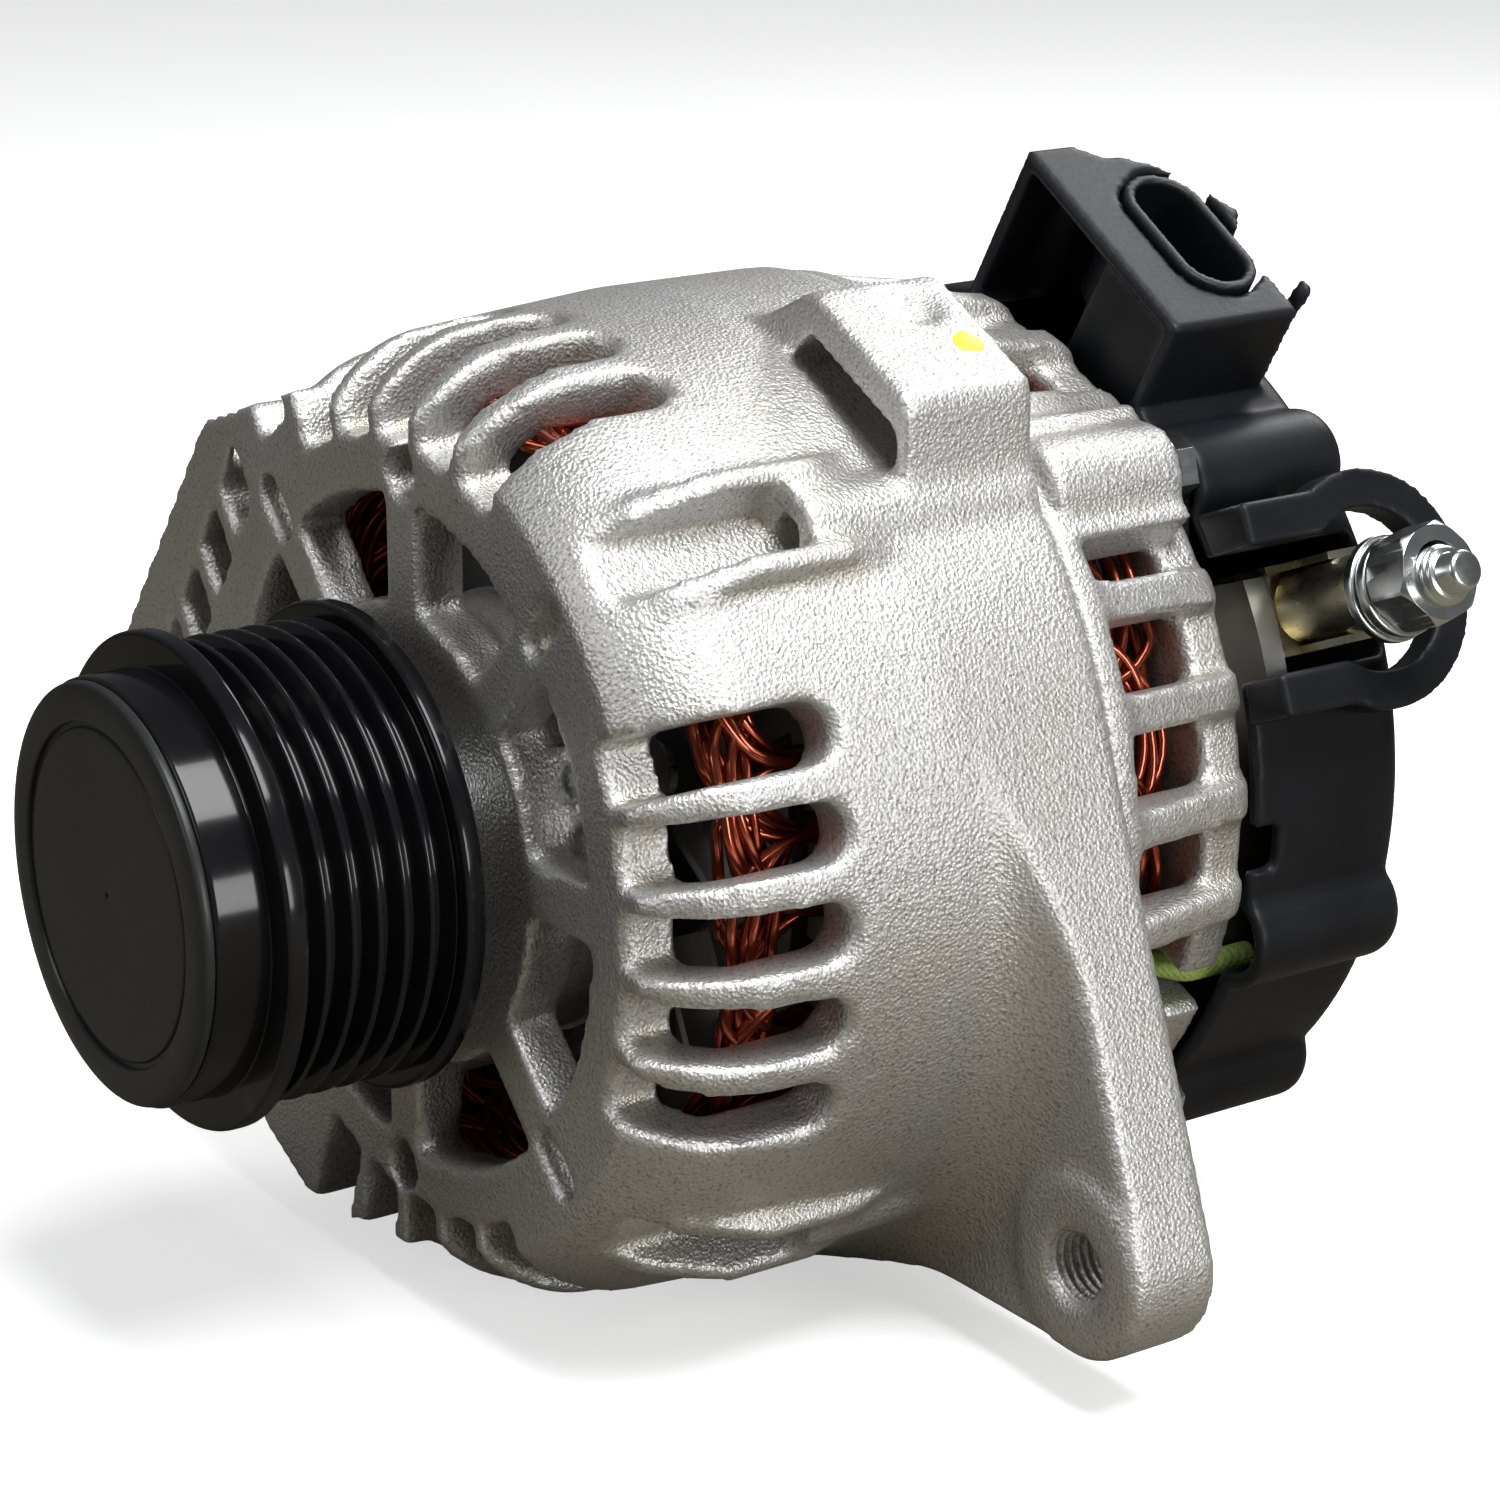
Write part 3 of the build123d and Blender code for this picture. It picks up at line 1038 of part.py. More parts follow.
def brush_spring(y_middle):
    """The space of a coil spring from the brush to the holder's roof."""
    height = HOLDER_ROOF - BRUSH_TOP
    coil = Cylinder(SPRING_R, height) - Cylinder(SPRING_R - 2 * SPRING_WIRE_R, height + THROUGH)
    return Pos(0, y_middle, BRUSH_TOP + height / 2) * coil


def brush_holder():
    half_x = HOLDER_SIDE_X - HOLDER_WALL
    half_y = BRUSH_W / 2 + BRUSH_SIDE
    high_y = BRUSH_YS[1] + half_y + HOLDER_WALL
    body = brick(-HOLDER_SIDE_X, HOLDER_SIDE_X, TAIL_FACE_Y, high_y, RING_R + HOLDER_FOOT,
                 HOLDER_ROOF + HOLDER_WALL)
    for y_middle in BRUSH_YS:
        body = body - brick(-half_x, half_x, y_middle - half_y, y_middle + half_y, RING_R, HOLDER_ROOF)
    return body


def regulator_dish(gap):
    """The recess in the regulator block that takes its heat sink."""
    rim = REGULATOR_RIM + gap
    base = TAIL_FACE_Y + REGULATOR_L - REGULATOR_DISH
    return brick(HOLDER_SIDE_X + rim, REGULATOR_X - rim, base, base + REGULATOR_DISH, REGULATOR_Z0 + rim,
                 REGULATOR_Z1 - rim)


def regulator():
    block = brick(HOLDER_SIDE_X, REGULATOR_X, TAIL_FACE_Y, TAIL_FACE_Y + REGULATOR_L, REGULATOR_Z0,
                  REGULATOR_Z1)
    return block - regulator_dish(0)


def regulator_heat_sink():
    plate = regulator_dish(FIT)
    box = plate.bounding_box()
    step = (box.size.X - REGULATOR_FIN_T) / (REGULATOR_FINS - 1)
    for i in range(REGULATOR_FINS):
        x = box.min.X + step * i
        plate = plate + brick(x, x + REGULATOR_FIN_T, box.min.Y, box.min.Y + REGULATOR_FIN_H, box.min.Z,
                              box.max.Z)
    return plate


# ---------------------------------------------------------------- rectifier

def crescent(r_in, r_out, y0, y1, start, end):
    """A ring sector between two azimuths."""
    span = end - start
    sector = revolve(Plane.XY * (Pos((r_in + r_out) / 2, (y0 + y1) / 2) * Rectangle(r_out - r_in, y1 - y0)),
                     Axis.Y, revolution_arc=span)
    return at(end) * sector


def heat_sink(y0):
    plate = crescent(SINK_IN_R, SINK_OUT_R, y0, y0 + SINK_T, SINK_START_AZ, SINK_END_AZ)
    for i in range(DIODES):
        azimuth = DIODE_AZ + DIODE_STEP_AZ * i
        plate = plate - at(azimuth) * rod(DIODE_R + FIT, y0 - THROUGH, y0 + SINK_T + THROUGH, x=DIODE_PCR)
    for azimuth in RECTIFIER_SCREW_AZ:
        plate = plate - at(azimuth) * rod(RECTIFIER_SCREW_R + FIT, y0 - THROUGH, y0 + SINK_T + THROUGH,
                                          x=RECTIFIER_SCREW_PCR)
    for azimuth in COVER_STUD_AZ:
        plate = plate - at(azimuth) * rod(COVER_STUD_R + COVER_STUD_HOLE, y0 - THROUGH,
                                          y0 + SINK_T + THROUGH, x=COVER_STUD_PCR)
    return plate


def diodes(y0):
    cans = []
    for i in range(DIODES):
        can = rod(DIODE_R, y0, y0 + DIODE_L, x=DIODE_PCR)
        can = can + rod(DIODE_PIN_R, y0 + DIODE_L, y0 + DIODE_L + DIODE_PIN_L, x=DIODE_PCR)
        cans.append(at(DIODE_AZ + DIODE_STEP_AZ * i) * can)
    return cans


def rectifier_insulator():
    y0 = TAIL_FACE_Y + SINK_T
    rim = crescent(SINK_OUT_R - INSULATOR_W, SINK_OUT_R, y0, TAIL_FACE_Y + SINK_STEP, SINK_START_AZ,
                   SINK_END_AZ)
    for azimuth in RECTIFIER_SCREW_AZ:
        rim = rim - at(azimuth) * rod(RECTIFIER_SCREW_R + FIT, y0 - THROUGH, y0 + SINK_STEP,
                                      x=RECTIFIER_SCREW_PCR)
    for azimuth in COVER_STUD_AZ:
        rim = rim - at(azimuth) * rod(COVER_STUD_R + COVER_STUD_HOLE, y0 - THROUGH, y0 + SINK_STEP,
                                      x=COVER_STUD_PCR)
    return rim


def rectifier_screws():
    head_y = TAIL_FACE_Y + SINK_STEP + SINK_T
    shank = rod(RECTIFIER_SCREW_R, TAIL_FACE_Y - TAIL_WALL_T, head_y, x=RECTIFIER_SCREW_PCR)
    head = rod(RECTIFIER_HEAD_R, head_y, head_y + RECTIFIER_HEAD_T, x=RECTIFIER_SCREW_PCR)
    return [at(azimuth) * (shank + head) for azimuth in RECTIFIER_SCREW_AZ]


# ---------------------------------------------------------------- output terminal

def spike(r, x0, x1):
    """A round bar on the terminal's axis, in the frame at TERM_AZ."""
    return Pos((x0 + x1) / 2, TERM_Y, TERM_T) * (Rot(0, 90, 0) * Cylinder(r, x1 - x0))


def terminal_bracket():
    y0 = TAIL_FACE_Y + SINK_STEP + SINK_T
    half = BRACKET_W / 2
    outer = STUD_ROOT + BRACKET_T
    body = brick(STUD_ROOT, outer, y0, TERM_Y + BRACKET_REACH, TERM_T - half, TERM_T + half)
    body = body + brick(STUD_ROOT - BRACKET_FOOT, STUD_ROOT + MERGE, y0, y0 + BRACKET_FOOT_T, TERM_T - half,
                        TERM_T + half)
    for side in (-1, 1):
        edge = TERM_T + side * (half - FINGER_T / 2)
        body = body + brick(outer - FINGER_ROOT, FINGER_END, TERM_Y + FINGER_Y[0], TERM_Y + FINGER_Y[1],
                            edge - FINGER_T / 2, edge + FINGER_T / 2)
    return at(TERM_AZ) * (body - spike(STUD_R + FIT, STUD_ROOT - THROUGH, outer + THROUGH))


def output_stud():
    thread_end = STUD_TIP - STUD_DOG_L
    stud = spike(STUD_R, STUD_ROOT, thread_end)
    stud = chamfer(stud.edges().sort_by(Axis.X)[-1], STUD_CHAMFER)
    return at(TERM_AZ) * (stud + spike(STUD_DOG_R, thread_end - THROUGH, STUD_TIP))


def output_spacer():
    start = STUD_ROOT + BRACKET_T
    return at(TERM_AZ) * (spike(SPACER_R, start, SPACER_END) - spike(STUD_R + FIT, start - THROUGH,
                                                                     SPACER_END + THROUGH))


def output_washers():
    bore = spike(STUD_R + FIT, SPACER_END - THROUGH, STUD_TIP)
    mid = SPACER_END + WASHER_T
    flat = at(TERM_AZ) * (spike(WASHER_R, SPACER_END, mid) - bore)
    return [flat, at(TERM_AZ) * (spike(SPRING_WASHER_R, mid, mid + SPRING_WASHER_T) - bore)]


def output_nut():
    start = SPACER_END + WASHER_T + SPRING_WASHER_T
    seat = Plane(origin=(start, TERM_Y, TERM_T), x_dir=(0, 1, 0), z_dir=(1, 0, 0))
    flats = RegularPolygon(NUT_AF / 2, 6, major_radius=False)
    nut = extrude(seat * Rot(0, 0, NUT_TURN) * flats, amount=NUT_T)
    ends = spike(NUT_AF * NUT_CROWN, start, start + NUT_T)
    ends = chamfer([ends.edges().sort_by(Axis.X)[0], ends.edges().sort_by(Axis.X)[-1]], STUD_CHAMFER)
    return at(TERM_AZ) * ((nut & ends) - spike(STUD_R + FIT, start - THROUGH, STUD_TIP))


def terminal_guard():
    """A C-shaped shield round the terminal: a ring whose two arms run forward on the cover."""
    low = GUARD_TOP - GUARD_T
    ring = spike(GUARD_R, low, GUARD_TOP)
    half = GUARD_R - GUARD_ARM_SET
    inner = half - GUARD_ARM_W
    root, past = GUARD_ARM_ROOT - THROUGH, GUARD_TOP + THROUGH
    arms = brick(GUARD_ARM_ROOT, GUARD_TOP, GUARD_ARM_Y, TERM_Y - GUARD_ARM_LAP, TERM_T - half,
                 TERM_T + half)
    body = ring + arms - spike(GUARD_IN_R, root, past)
    body = body - brick(root, past, GUARD_ARM_Y - THROUGH, TERM_Y, TERM_T - inner, TERM_T + inner)
    guard = at(TERM_AZ) * body
    return guard - prism(cover_outline(FIT), GUARD_ARM_Y - THROUGH, TERM_Y + GUARD_R + THROUGH)


# ---------------------------------------------------------------- rear cover and connector

def cover_outline(grow):
    outline = Circle(COVER_R + grow)
    for azimuth in BULGE_AZ:
        outline = outline + Pos(*polar(BULGE_PCR, azimuth)) * Circle(BULGE_R + grow)
    return outline


def hood_block(shrink, front_y):
    """The connector's hood, with a curved wall behind the socket, in the frame at CONN_AZ."""
    rear = COVER_Y + HOOD_L
    left = COVER_Y + HOOD_LEFT_L
    corner = [(left + along, HOOD_HIGH_T - down) for along, down in HOOD_STEPS]
    outline = polygon((COVER_Y, HOOD_LOW_T), (COVER_Y, HOOD_HIGH_T), (left, HOOD_HIGH_T), *corner,
                      (rear + GUARD_WALL_BACK, SOCKET_T + HOOD_CURL[0]), (rear, SOCKET_T - HOOD_CURL[1]),
                      (rear, HOOD_LOW_T))
    if shrink:
        outline = offset(outline, -shrink, kind=Kind.INTERSECTION)
        mouth_end = COVER_Y + shrink + MERGE
        mouth = Rectangle(mouth_end - front_y, HOOD_HIGH_T - HOOD_LOW_T - 2 * shrink)
        outline = outline + Pos((front_y + mouth_end) / 2, (HOOD_LOW_T + HOOD_HIGH_T) / 2) * mouth
    base = Plane(origin=(HOOD_FOOT, 0, 0), x_dir=(0, 1, 0), z_dir=(1, 0, 0))
    return at(CONN_AZ) * extrude(base * outline, amount=HOOD_TOP - shrink - HOOD_FOOT)


def hood_details():
    """The wall that closes the right part of the mouth, and the clip's prong."""
    wall_y = COVER_Y + HOOD_WALL_SET
    wall = brick(COVER_R - HOOD_WALL_ROOT, HOOD_TOP - HOOD_WALL_END, wall_y, wall_y + COVER_T,
                 HOOD_LOW_T + HOOD_WALL_END, HOOD_MOUTH_T)
    prong = Pos(PRONG_ROOT, COVER_Y + HOOD_L, HOOD_LOW_T + PRONG_PLACE) * Rot(0, 0, PRONG_LEAN)
    prong = prong * brick(0, PRONG_TIP - PRONG_ROOT, 0, PRONG_T, -PRONG_W / 2, PRONG_W / 2)
    return at(CONN_AZ) * (wall + prong)


def socket_tube(grow, d0, d1):
    """An oval bar along the connector's axis."""
    face = Plane(origin=(d0, SOCKET_Y, SOCKET_T), x_dir=(0, 0, 1), z_dir=(1, 0, 0))
    return at(CONN_AZ) * extrude(face * SlotOverall(SOCKET_L + 2 * grow, SOCKET_W + 2 * grow),
                                 amount=d1 - d0)


def rear_cover():
    outer = prism(cover_outline(0), COVER_Y, COVER_END_Y)
    outer = fillet(outer.faces().sort_by(Axis.Y)[-1].edges(), COVER_EDGE)
    body = outer + hood_block(0, COVER_Y)
    body = body - prism(cover_outline(-COVER_T), COVER_Y - THROUGH,
                        COVER_IN_Y) - hood_block(COVER_T, COVER_Y - THROUGH)
    for azimuth in COVER_STUD_AZ:
        well = rod(COVER_WELL_R + COVER_T, COVER_END_Y - COVER_WELL_DEPTH - COVER_T, COVER_IN_Y,
                   x=COVER_STUD_PCR)
        body = body + at(azimuth) * well
    for azimuth in COVER_STUD_AZ:
        body = body - at(azimuth) * rod(COVER_WELL_R, COVER_END_Y - COVER_WELL_DEPTH, COVER_END_Y + THROUGH,
                                        x=COVER_STUD_PCR)
        body = body - at(azimuth) * rod(COVER_STUD_R + PLAY, COVER_Y, COVER_END_Y, x=COVER_STUD_PCR)
    body = body + hood_details()
    passage = socket_tube(PLAY, HOOD_FOOT, HOOD_TOP + SOCKET_PROUD + THROUGH)
    shift = Pos(0, SOCKET_MOAT, SOCKET_MOAT * MOAT_LEAN)
    body = body - passage - at(CONN_AZ) * shift * at(-CONN_AZ) * passage
    half = GUARD_R - GUARD_ARM_SET - GUARD_ARM_W
    inside, outside = COVER_R - CUT_DEPTH, COVER_R + CUT_DEPTH
    window = brick(inside, outside, COVER_Y - THROUGH, COVER_IN_Y, TERM_T - half, TERM_T + half)
    body = body - at(TERM_AZ) * window
    notch = brick(inside, outside, COVER_Y - THROUGH, COVER_Y + CLIP_NOTCH_L, -CLIP_NOTCH_W / 2,
                  CLIP_NOTCH_W / 2)
    body = body - at(CLIP_NOTCH_AZ) * notch
    for i in range(COVER_VENTS):
        slit = brick(COVER_VENT_IN, COVER_VENT_OUT, COVER_IN_Y - THROUGH, COVER_END_Y + THROUGH,
                     -COVER_VENT_W / 2, COVER_VENT_W / 2)
        body = body - at(COVER_VENT_AZ + COVER_VENT_STEP * i) * slit
    return body


def connector_shell():
    top = HOOD_TOP + SOCKET_PROUD
    bottom = top - SOCKET_DEPTH - SOCKET_FLOOR_T
    shell = socket_tube(0, bottom, top) - socket_tube(-SOCKET_WALL, bottom + SOCKET_FLOOR_T, top + THROUGH)
    stem = brick(CONN_STEM_D, bottom + MERGE, SOCKET_Y - SOCKET_W / 2,
                 SOCKET_Y + SOCKET_W / 2 - CONN_STEM_STEP, SOCKET_T - SOCKET_W / 2, SOCKET_T + SOCKET_W / 2)
    shell = shell + at(CONN_AZ) * stem
    shell = shell - brick(HOLDER_SIDE_X - PLAY, REGULATOR_X + PLAY, TAIL_FACE_Y - THROUGH, COVER_END_Y,
                          REGULATOR_Z0 - PLAY, REGULATOR_Z1)
    for z in pin_places():
        shell = shell - pin(z, PIN_R + FIT, bottom - 2 * THROUGH)
    return shell


def pin_places():
    return [SOCKET_T + PIN_PITCH * (i - (PINS - 1) / 2) for i in range(PINS)]


def pin(z, r, d0):
    middle = Pos((d0 + PIN_TOP) / 2, SOCKET_Y, z)
    return at(CONN_AZ) * (middle * (Rot(0, 90, 0) * Cylinder(r, PIN_TOP - d0)))


def connector_pins():
    base = HOOD_TOP + SOCKET_PROUD - SOCKET_DEPTH - SOCKET_FLOOR_T - PIN_ROOT
    return [pin(z, PIN_R, base) for z in pin_places()]


def cover_studs():
    end = COVER_END_Y - COVER_STUD_SHORT
    start = TAIL_FACE_Y - TAIL_WALL_T
    return [at(azimuth) * rod(COVER_STUD_R, start, end, x=COVER_STUD_PCR) for azimuth in COVER_STUD_AZ]


def cover_nuts():
    y0 = COVER_END_Y - COVER_WELL_DEPTH
    nuts = []
    for azimuth in COVER_STUD_AZ:
        nut = Pos(COVER_STUD_PCR, 0, 0) * hexagon(COVER_NUT_AF, y0, y0 + COVER_NUT_T)
        nut = nut + rod(COVER_NUT_FLANGE[0], y0, y0 + COVER_NUT_FLANGE[1], x=COVER_STUD_PCR)
        bore = rod(COVER_STUD_R + FIT, y0 - THROUGH, y0 + COVER_NUT_T + THROUGH, x=COVER_STUD_PCR)
        nuts.append(at(azimuth) * (nut - bore))
    return nuts


# ---------------------------------------------------------------- assembly

front_bearing = bearing(FRONT_BRG, FRONT_BRG_Y)
rear_bearing = bearing(REAR_BRG, REAR_BRG_Y)

nodes = {
    "pulley_ring": pulley_ring(),
    "pulley_cap": pulley_cap(),
    "clutch_sleeve": clutch_outer(),
    "clutch_rollers": clutch_rollers(),
    "clutch_cage": clutch_cage(),
    "pulley_bushes": pulley_bushes(),
    "pulley_hub": pulley_hub(),
    "spacer_collar": spacer_collar(),
    "rotor_shaft": rotor_shaft(),
    "bearing_retainer": bearing_retainer(),
    "retainer_screws": retainer_screws(),
    "drive_end_bracket": drive_end_bracket(),
    "slip_ring_end_bracket": slip_ring_end_bracket(),
    "through_bolts": through_bolts(),
    "stator_core": stator_core(),
    "stator_winding": stator_winding(),
    "phase_leads": phase_leads(),
    "front_claw_pole": claw_pole(True),
    "rear_claw_pole": claw_pole(False),
    "coil_bobbin": coil_bobbin(),
    "field_coil": field_coil(),
    "front_fan": fan(POLE_Y, FRONT_FAN_H, -1),
    "rear_fan": fan(POLE_END_Y, REAR_FAN_H, 1),
    "slip_rings": slip_rings(),
    "slip_ring_insulator": slip_ring_insulator(),
    "front_brush": brush(BRUSH_YS[0]),
    "rear_brush": brush(BRUSH_YS[1]),
    "front_brush_spring": brush_spring(BRUSH_YS[0]),
    "rear_brush_spring": brush_spring(BRUSH_YS[1]),
    "brush_holder": brush_holder(),
    "regulator": regulator(),
    "regulator_heat_sink": regulator_heat_sink(),
    "negative_heat_sink": heat_sink(NEGATIVE_Y),
    "positive_heat_sink": heat_sink(POSITIVE_Y),
    "negative_diodes": diodes(NEGATIVE_Y),
    "positive_diodes": diodes(POSITIVE_Y),
    "rectifier_insulator": rectifier_insulator(),
    "rectifier_screws": rectifier_screws(),
    "terminal_bracket": terminal_bracket(),
    "output_stud": output_stud(),
    "output_spacer": output_spacer(),
    "output_washers": output_washers(),
    "output_nut": output_nut(),
    "terminal_guard": terminal_guard(),
    "rear_cover": rear_cover(),
    "cover_studs": cover_studs(),
    "cover_nuts": cover_nuts(),
    "connector_shell": connector_shell(),
    "connector_pins": connector_pins(),
}
for place, pieces in (("front", front_bearing), ("rear", rear_bearing)):
    for piece, shape in pieces.items():
        nodes[f"{place}_bearing_{piece}"] = shape

os.makedirs("parts", exist_ok=True)
for name, shape in nodes.items():
    export_step(Compound(shape) if isinstance(shape, list) else shape, f"parts/{name}.step")
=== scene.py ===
import json
import math

import bmesh
import bpy
import numpy as np
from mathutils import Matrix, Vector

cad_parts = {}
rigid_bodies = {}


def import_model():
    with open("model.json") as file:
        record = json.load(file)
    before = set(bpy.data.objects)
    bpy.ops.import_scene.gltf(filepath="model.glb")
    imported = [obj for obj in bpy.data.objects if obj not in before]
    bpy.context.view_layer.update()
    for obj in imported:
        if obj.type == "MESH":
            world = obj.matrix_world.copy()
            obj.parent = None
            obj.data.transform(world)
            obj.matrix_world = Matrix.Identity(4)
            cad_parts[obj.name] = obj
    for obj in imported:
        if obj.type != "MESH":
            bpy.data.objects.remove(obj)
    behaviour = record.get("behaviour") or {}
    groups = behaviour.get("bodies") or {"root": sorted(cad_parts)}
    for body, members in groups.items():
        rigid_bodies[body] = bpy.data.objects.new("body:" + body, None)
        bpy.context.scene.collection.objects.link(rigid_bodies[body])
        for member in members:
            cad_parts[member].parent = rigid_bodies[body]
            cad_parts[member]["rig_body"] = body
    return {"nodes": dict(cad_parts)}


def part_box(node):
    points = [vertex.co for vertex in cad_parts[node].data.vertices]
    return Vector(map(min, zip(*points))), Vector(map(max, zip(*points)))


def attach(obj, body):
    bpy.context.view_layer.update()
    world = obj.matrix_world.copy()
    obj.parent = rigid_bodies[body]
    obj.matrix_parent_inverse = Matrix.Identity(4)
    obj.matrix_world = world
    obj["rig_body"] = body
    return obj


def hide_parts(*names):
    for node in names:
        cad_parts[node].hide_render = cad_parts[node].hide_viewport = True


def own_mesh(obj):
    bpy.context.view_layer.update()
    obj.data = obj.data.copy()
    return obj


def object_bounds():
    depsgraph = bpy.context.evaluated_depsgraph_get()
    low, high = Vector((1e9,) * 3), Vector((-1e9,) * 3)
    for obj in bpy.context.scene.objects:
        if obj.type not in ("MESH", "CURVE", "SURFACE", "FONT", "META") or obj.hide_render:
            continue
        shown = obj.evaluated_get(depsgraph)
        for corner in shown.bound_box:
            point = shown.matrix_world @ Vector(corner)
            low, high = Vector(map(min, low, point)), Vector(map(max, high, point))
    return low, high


bl_info = {
    "name": "Car alternator dresser",
    "version": (1, 0, 0),
    "blender": (4, 5, 0),
    "location": "View3D > Sidebar > Alternator",
    "description": "Builds the cast, wound, turned and moulded pieces of a car alternator "
                   "round its packed frame",
    "category": "Add Mesh",
}

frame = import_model()
CAD_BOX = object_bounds()

MM = 0.001
SEED = 41

# Sizes that a piece does not take from a node's box. Lengths are in millimetres, azimuths in degrees.

# Threaded ear, and the dab of paint on the lug
EAR_Z = -45.7             # height of the hole
EAR_TIP_R = 12.0          # hole's centre inside the ear's end
EAR_HOLE_R = 4.25
EAR_OPEN_R = 5.05         # the hole once it is opened for the thread
EAR_BAND = 0.2            # what counts as the hole's wall
EAR_LENGTH = 13.2
EAR_THREAD = (4.58, 0.32, 5.6)      # mean radius, height of the wave, outer radius
EAR_THREAD_ENDS = (12.0, 0.3)       # start and end ahead of the ear's rear face
LUG_AZ = 63.0
DAB_R = 2.1
DAB_RISE = 0.4
DAB_PLACE = (73.3, -5.6, 79.0)      # up the lug's slope, across it, along the shaft

# Windings
SLOTS = 36
SLOT_SPAN = 3             # slots from one leg of an arch to the other
ARCH_STEPS = 26
CROWN_R = (47.4, 54.5)
CROWN_MIDDLE_R = 51.0
LEG_R = (47.6, 5.0)       # innermost leg, and the depth that the strands share
LAYER_R = (53.4, 50.6)    # top of the arches in the outer and inner layers
LAYER_DEPTH = (2.2, 1.54)
LEG_SHIFT = 0.7           # a leg beside its slot's middle
ARCH_LOW = 0.62           # lowest strand's height as a share of the crown's
ARCH_POWER = 0.7          # roundness of an arch
ARCH_LAG = 0.10           # how far an arch's turn lags behind its course

# Pulley
GROOVES = 6
GROOVE_PITCH = 3.56
CREST_R = 29.3
ROOT_R = 26.6
CREST_HALF = 0.35
ROOT_HALF = 0.45
FLANGE_R = 31.2
FLANGE_T = 2.7
FLANGE_STEP = 0.6
NOSE_R = 26.75
NOSE_WALL = 2.0
CAP_BORE_DEPTH = 5.0
CAP_BORE_STEP = 4.4
RECESS = (26.6, 23.6, 3.0)          # outer radius, inner radius, depth
RING_BORE_R = 19.0
RING_BORE_START = 7.5
FLANGE_EDGE = 0.7
CAP_T = 1.62
CAP_BACK = 1.9
CAP_PLUG_R = (22.8, 24.7)
CAP_DISC_R = 20.6
CAP_DISC_SET = 0.34       # disc behind the rim's face
CAP_DISH = 0.08
CENTRE_R = 0.3
ARC_STEPS = 6

# Output terminal
STUD_AZ = 22.4
STUD_THREAD = (3.69, 0.27)          # mean radius, height of the wave
STUD_TAPER = (3.2, 1.4)   # radius at the thread's end, and its slope
DOG_L = 3.2
DOG_STEPS = (0.05, 0.2)   # distances past the thread's end
DOG_ENDS = (0.5, 0.15, 0.0)         # distances before the tip
DOG_R = (2.75, 2.6, 2.6, 2.35, 1.9)
STUD_RINGS = 270
STUD_SIDES = 64
FLAT_WASHER = (4.2, 7.0, 1.5)       # inner radius, outer radius, thickness
SPLIT_WASHER = (4.25, 6.55)
SPLIT_GAP = (0.05, 0.4)   # clearance before and behind the split washer
SPLIT_RISE = 0.35
SPLIT_HALF = 0.06         # half of the split, in radians
SPLIT_AT = 0.9            # the split's direction, in radians
WASHER_SIDES = 72
BEVEL_ANGLE = 35.0

# Brush springs
SPRING_WIRE_R = 0.25
SPRING_TURNS = 6
SPRING_RINGS = 200
SPRING_CLEAR = 0.02
WIRE_SIDES = 8

# Stage
CAMERA_PLACE = (0.423455, -0.218172, 0.164945)
CAMERA_AZ = 55.493
CAMERA_EL = 17.648
FLOOR_R = 6000
FLOOR_GAP = 0.0005        # in metres
# name, azimuth, elevation, distance and side in metres, power in watts
SOFTBOXES = (("key", 95, 62, 0.9, 0.5, 11.0), ("front_fill", 0, 25, 1.2, 0.5, 2.5),
             ("back_rim", 200, 40, 1.0, 0.4, 4.0), ("low_right", 100, 8, 1.0, 0.3, 3.0))


# ---- arrays and meshes

def grid_quads(rows, columns, wrap_rows, wrap_columns):
    """Quads between neighbouring points of a grid; a wrapped side joins its last line to its first."""
    i, j = np.meshgrid(np.arange(rows if wrap_rows else rows - 1),
                       np.arange(columns if wrap_columns else columns - 1), indexing="ij")
    up, right = (i + 1) % rows, (j + 1) % columns
    corners = (i * columns + j, i * columns + right, up * columns + right, up * columns + j)
    return np.stack(corners, axis=-1).reshape(-1, 4)


def new_piece(name, points, faces, body):
    """A mesh object from points in millimetres and one index array for each corner count."""
    sizes = np.concatenate([np.full(len(f), f.shape[1]) for f in faces])
    corners = np.concatenate([f.ravel() for f in faces])
    mesh = bpy.data.meshes.new(name)
    mesh.vertices.add(len(points))
    mesh.vertices.foreach_set("co", (np.asarray(points) * MM).astype(np.float32).ravel())
    mesh.loops.add(len(corners))
    mesh.loops.foreach_set("vertex_index", corners.astype(np.int32))
    mesh.polygons.add(len(sizes))
    mesh.polygons.foreach_set("loop_start", (np.cumsum(sizes) - sizes).astype(np.int32))
    mesh.polygons.foreach_set("use_smooth", np.full(len(sizes), True))
    mesh.update(calc_edges=True)
    turn_outward(mesh)
    piece = bpy.data.objects.new(name, mesh)
    bpy.context.scene.collection.objects.link(piece)
    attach(piece, body)
    return piece


def turn_outward(mesh):
    """Winds every face so that its normal points out of the closed piece."""
    work = bmesh.new()
    work.from_mesh(mesh)
    bmesh.ops.recalc_face_normals(work, faces=work.faces)
    work.to_mesh(mesh)
    work.free()


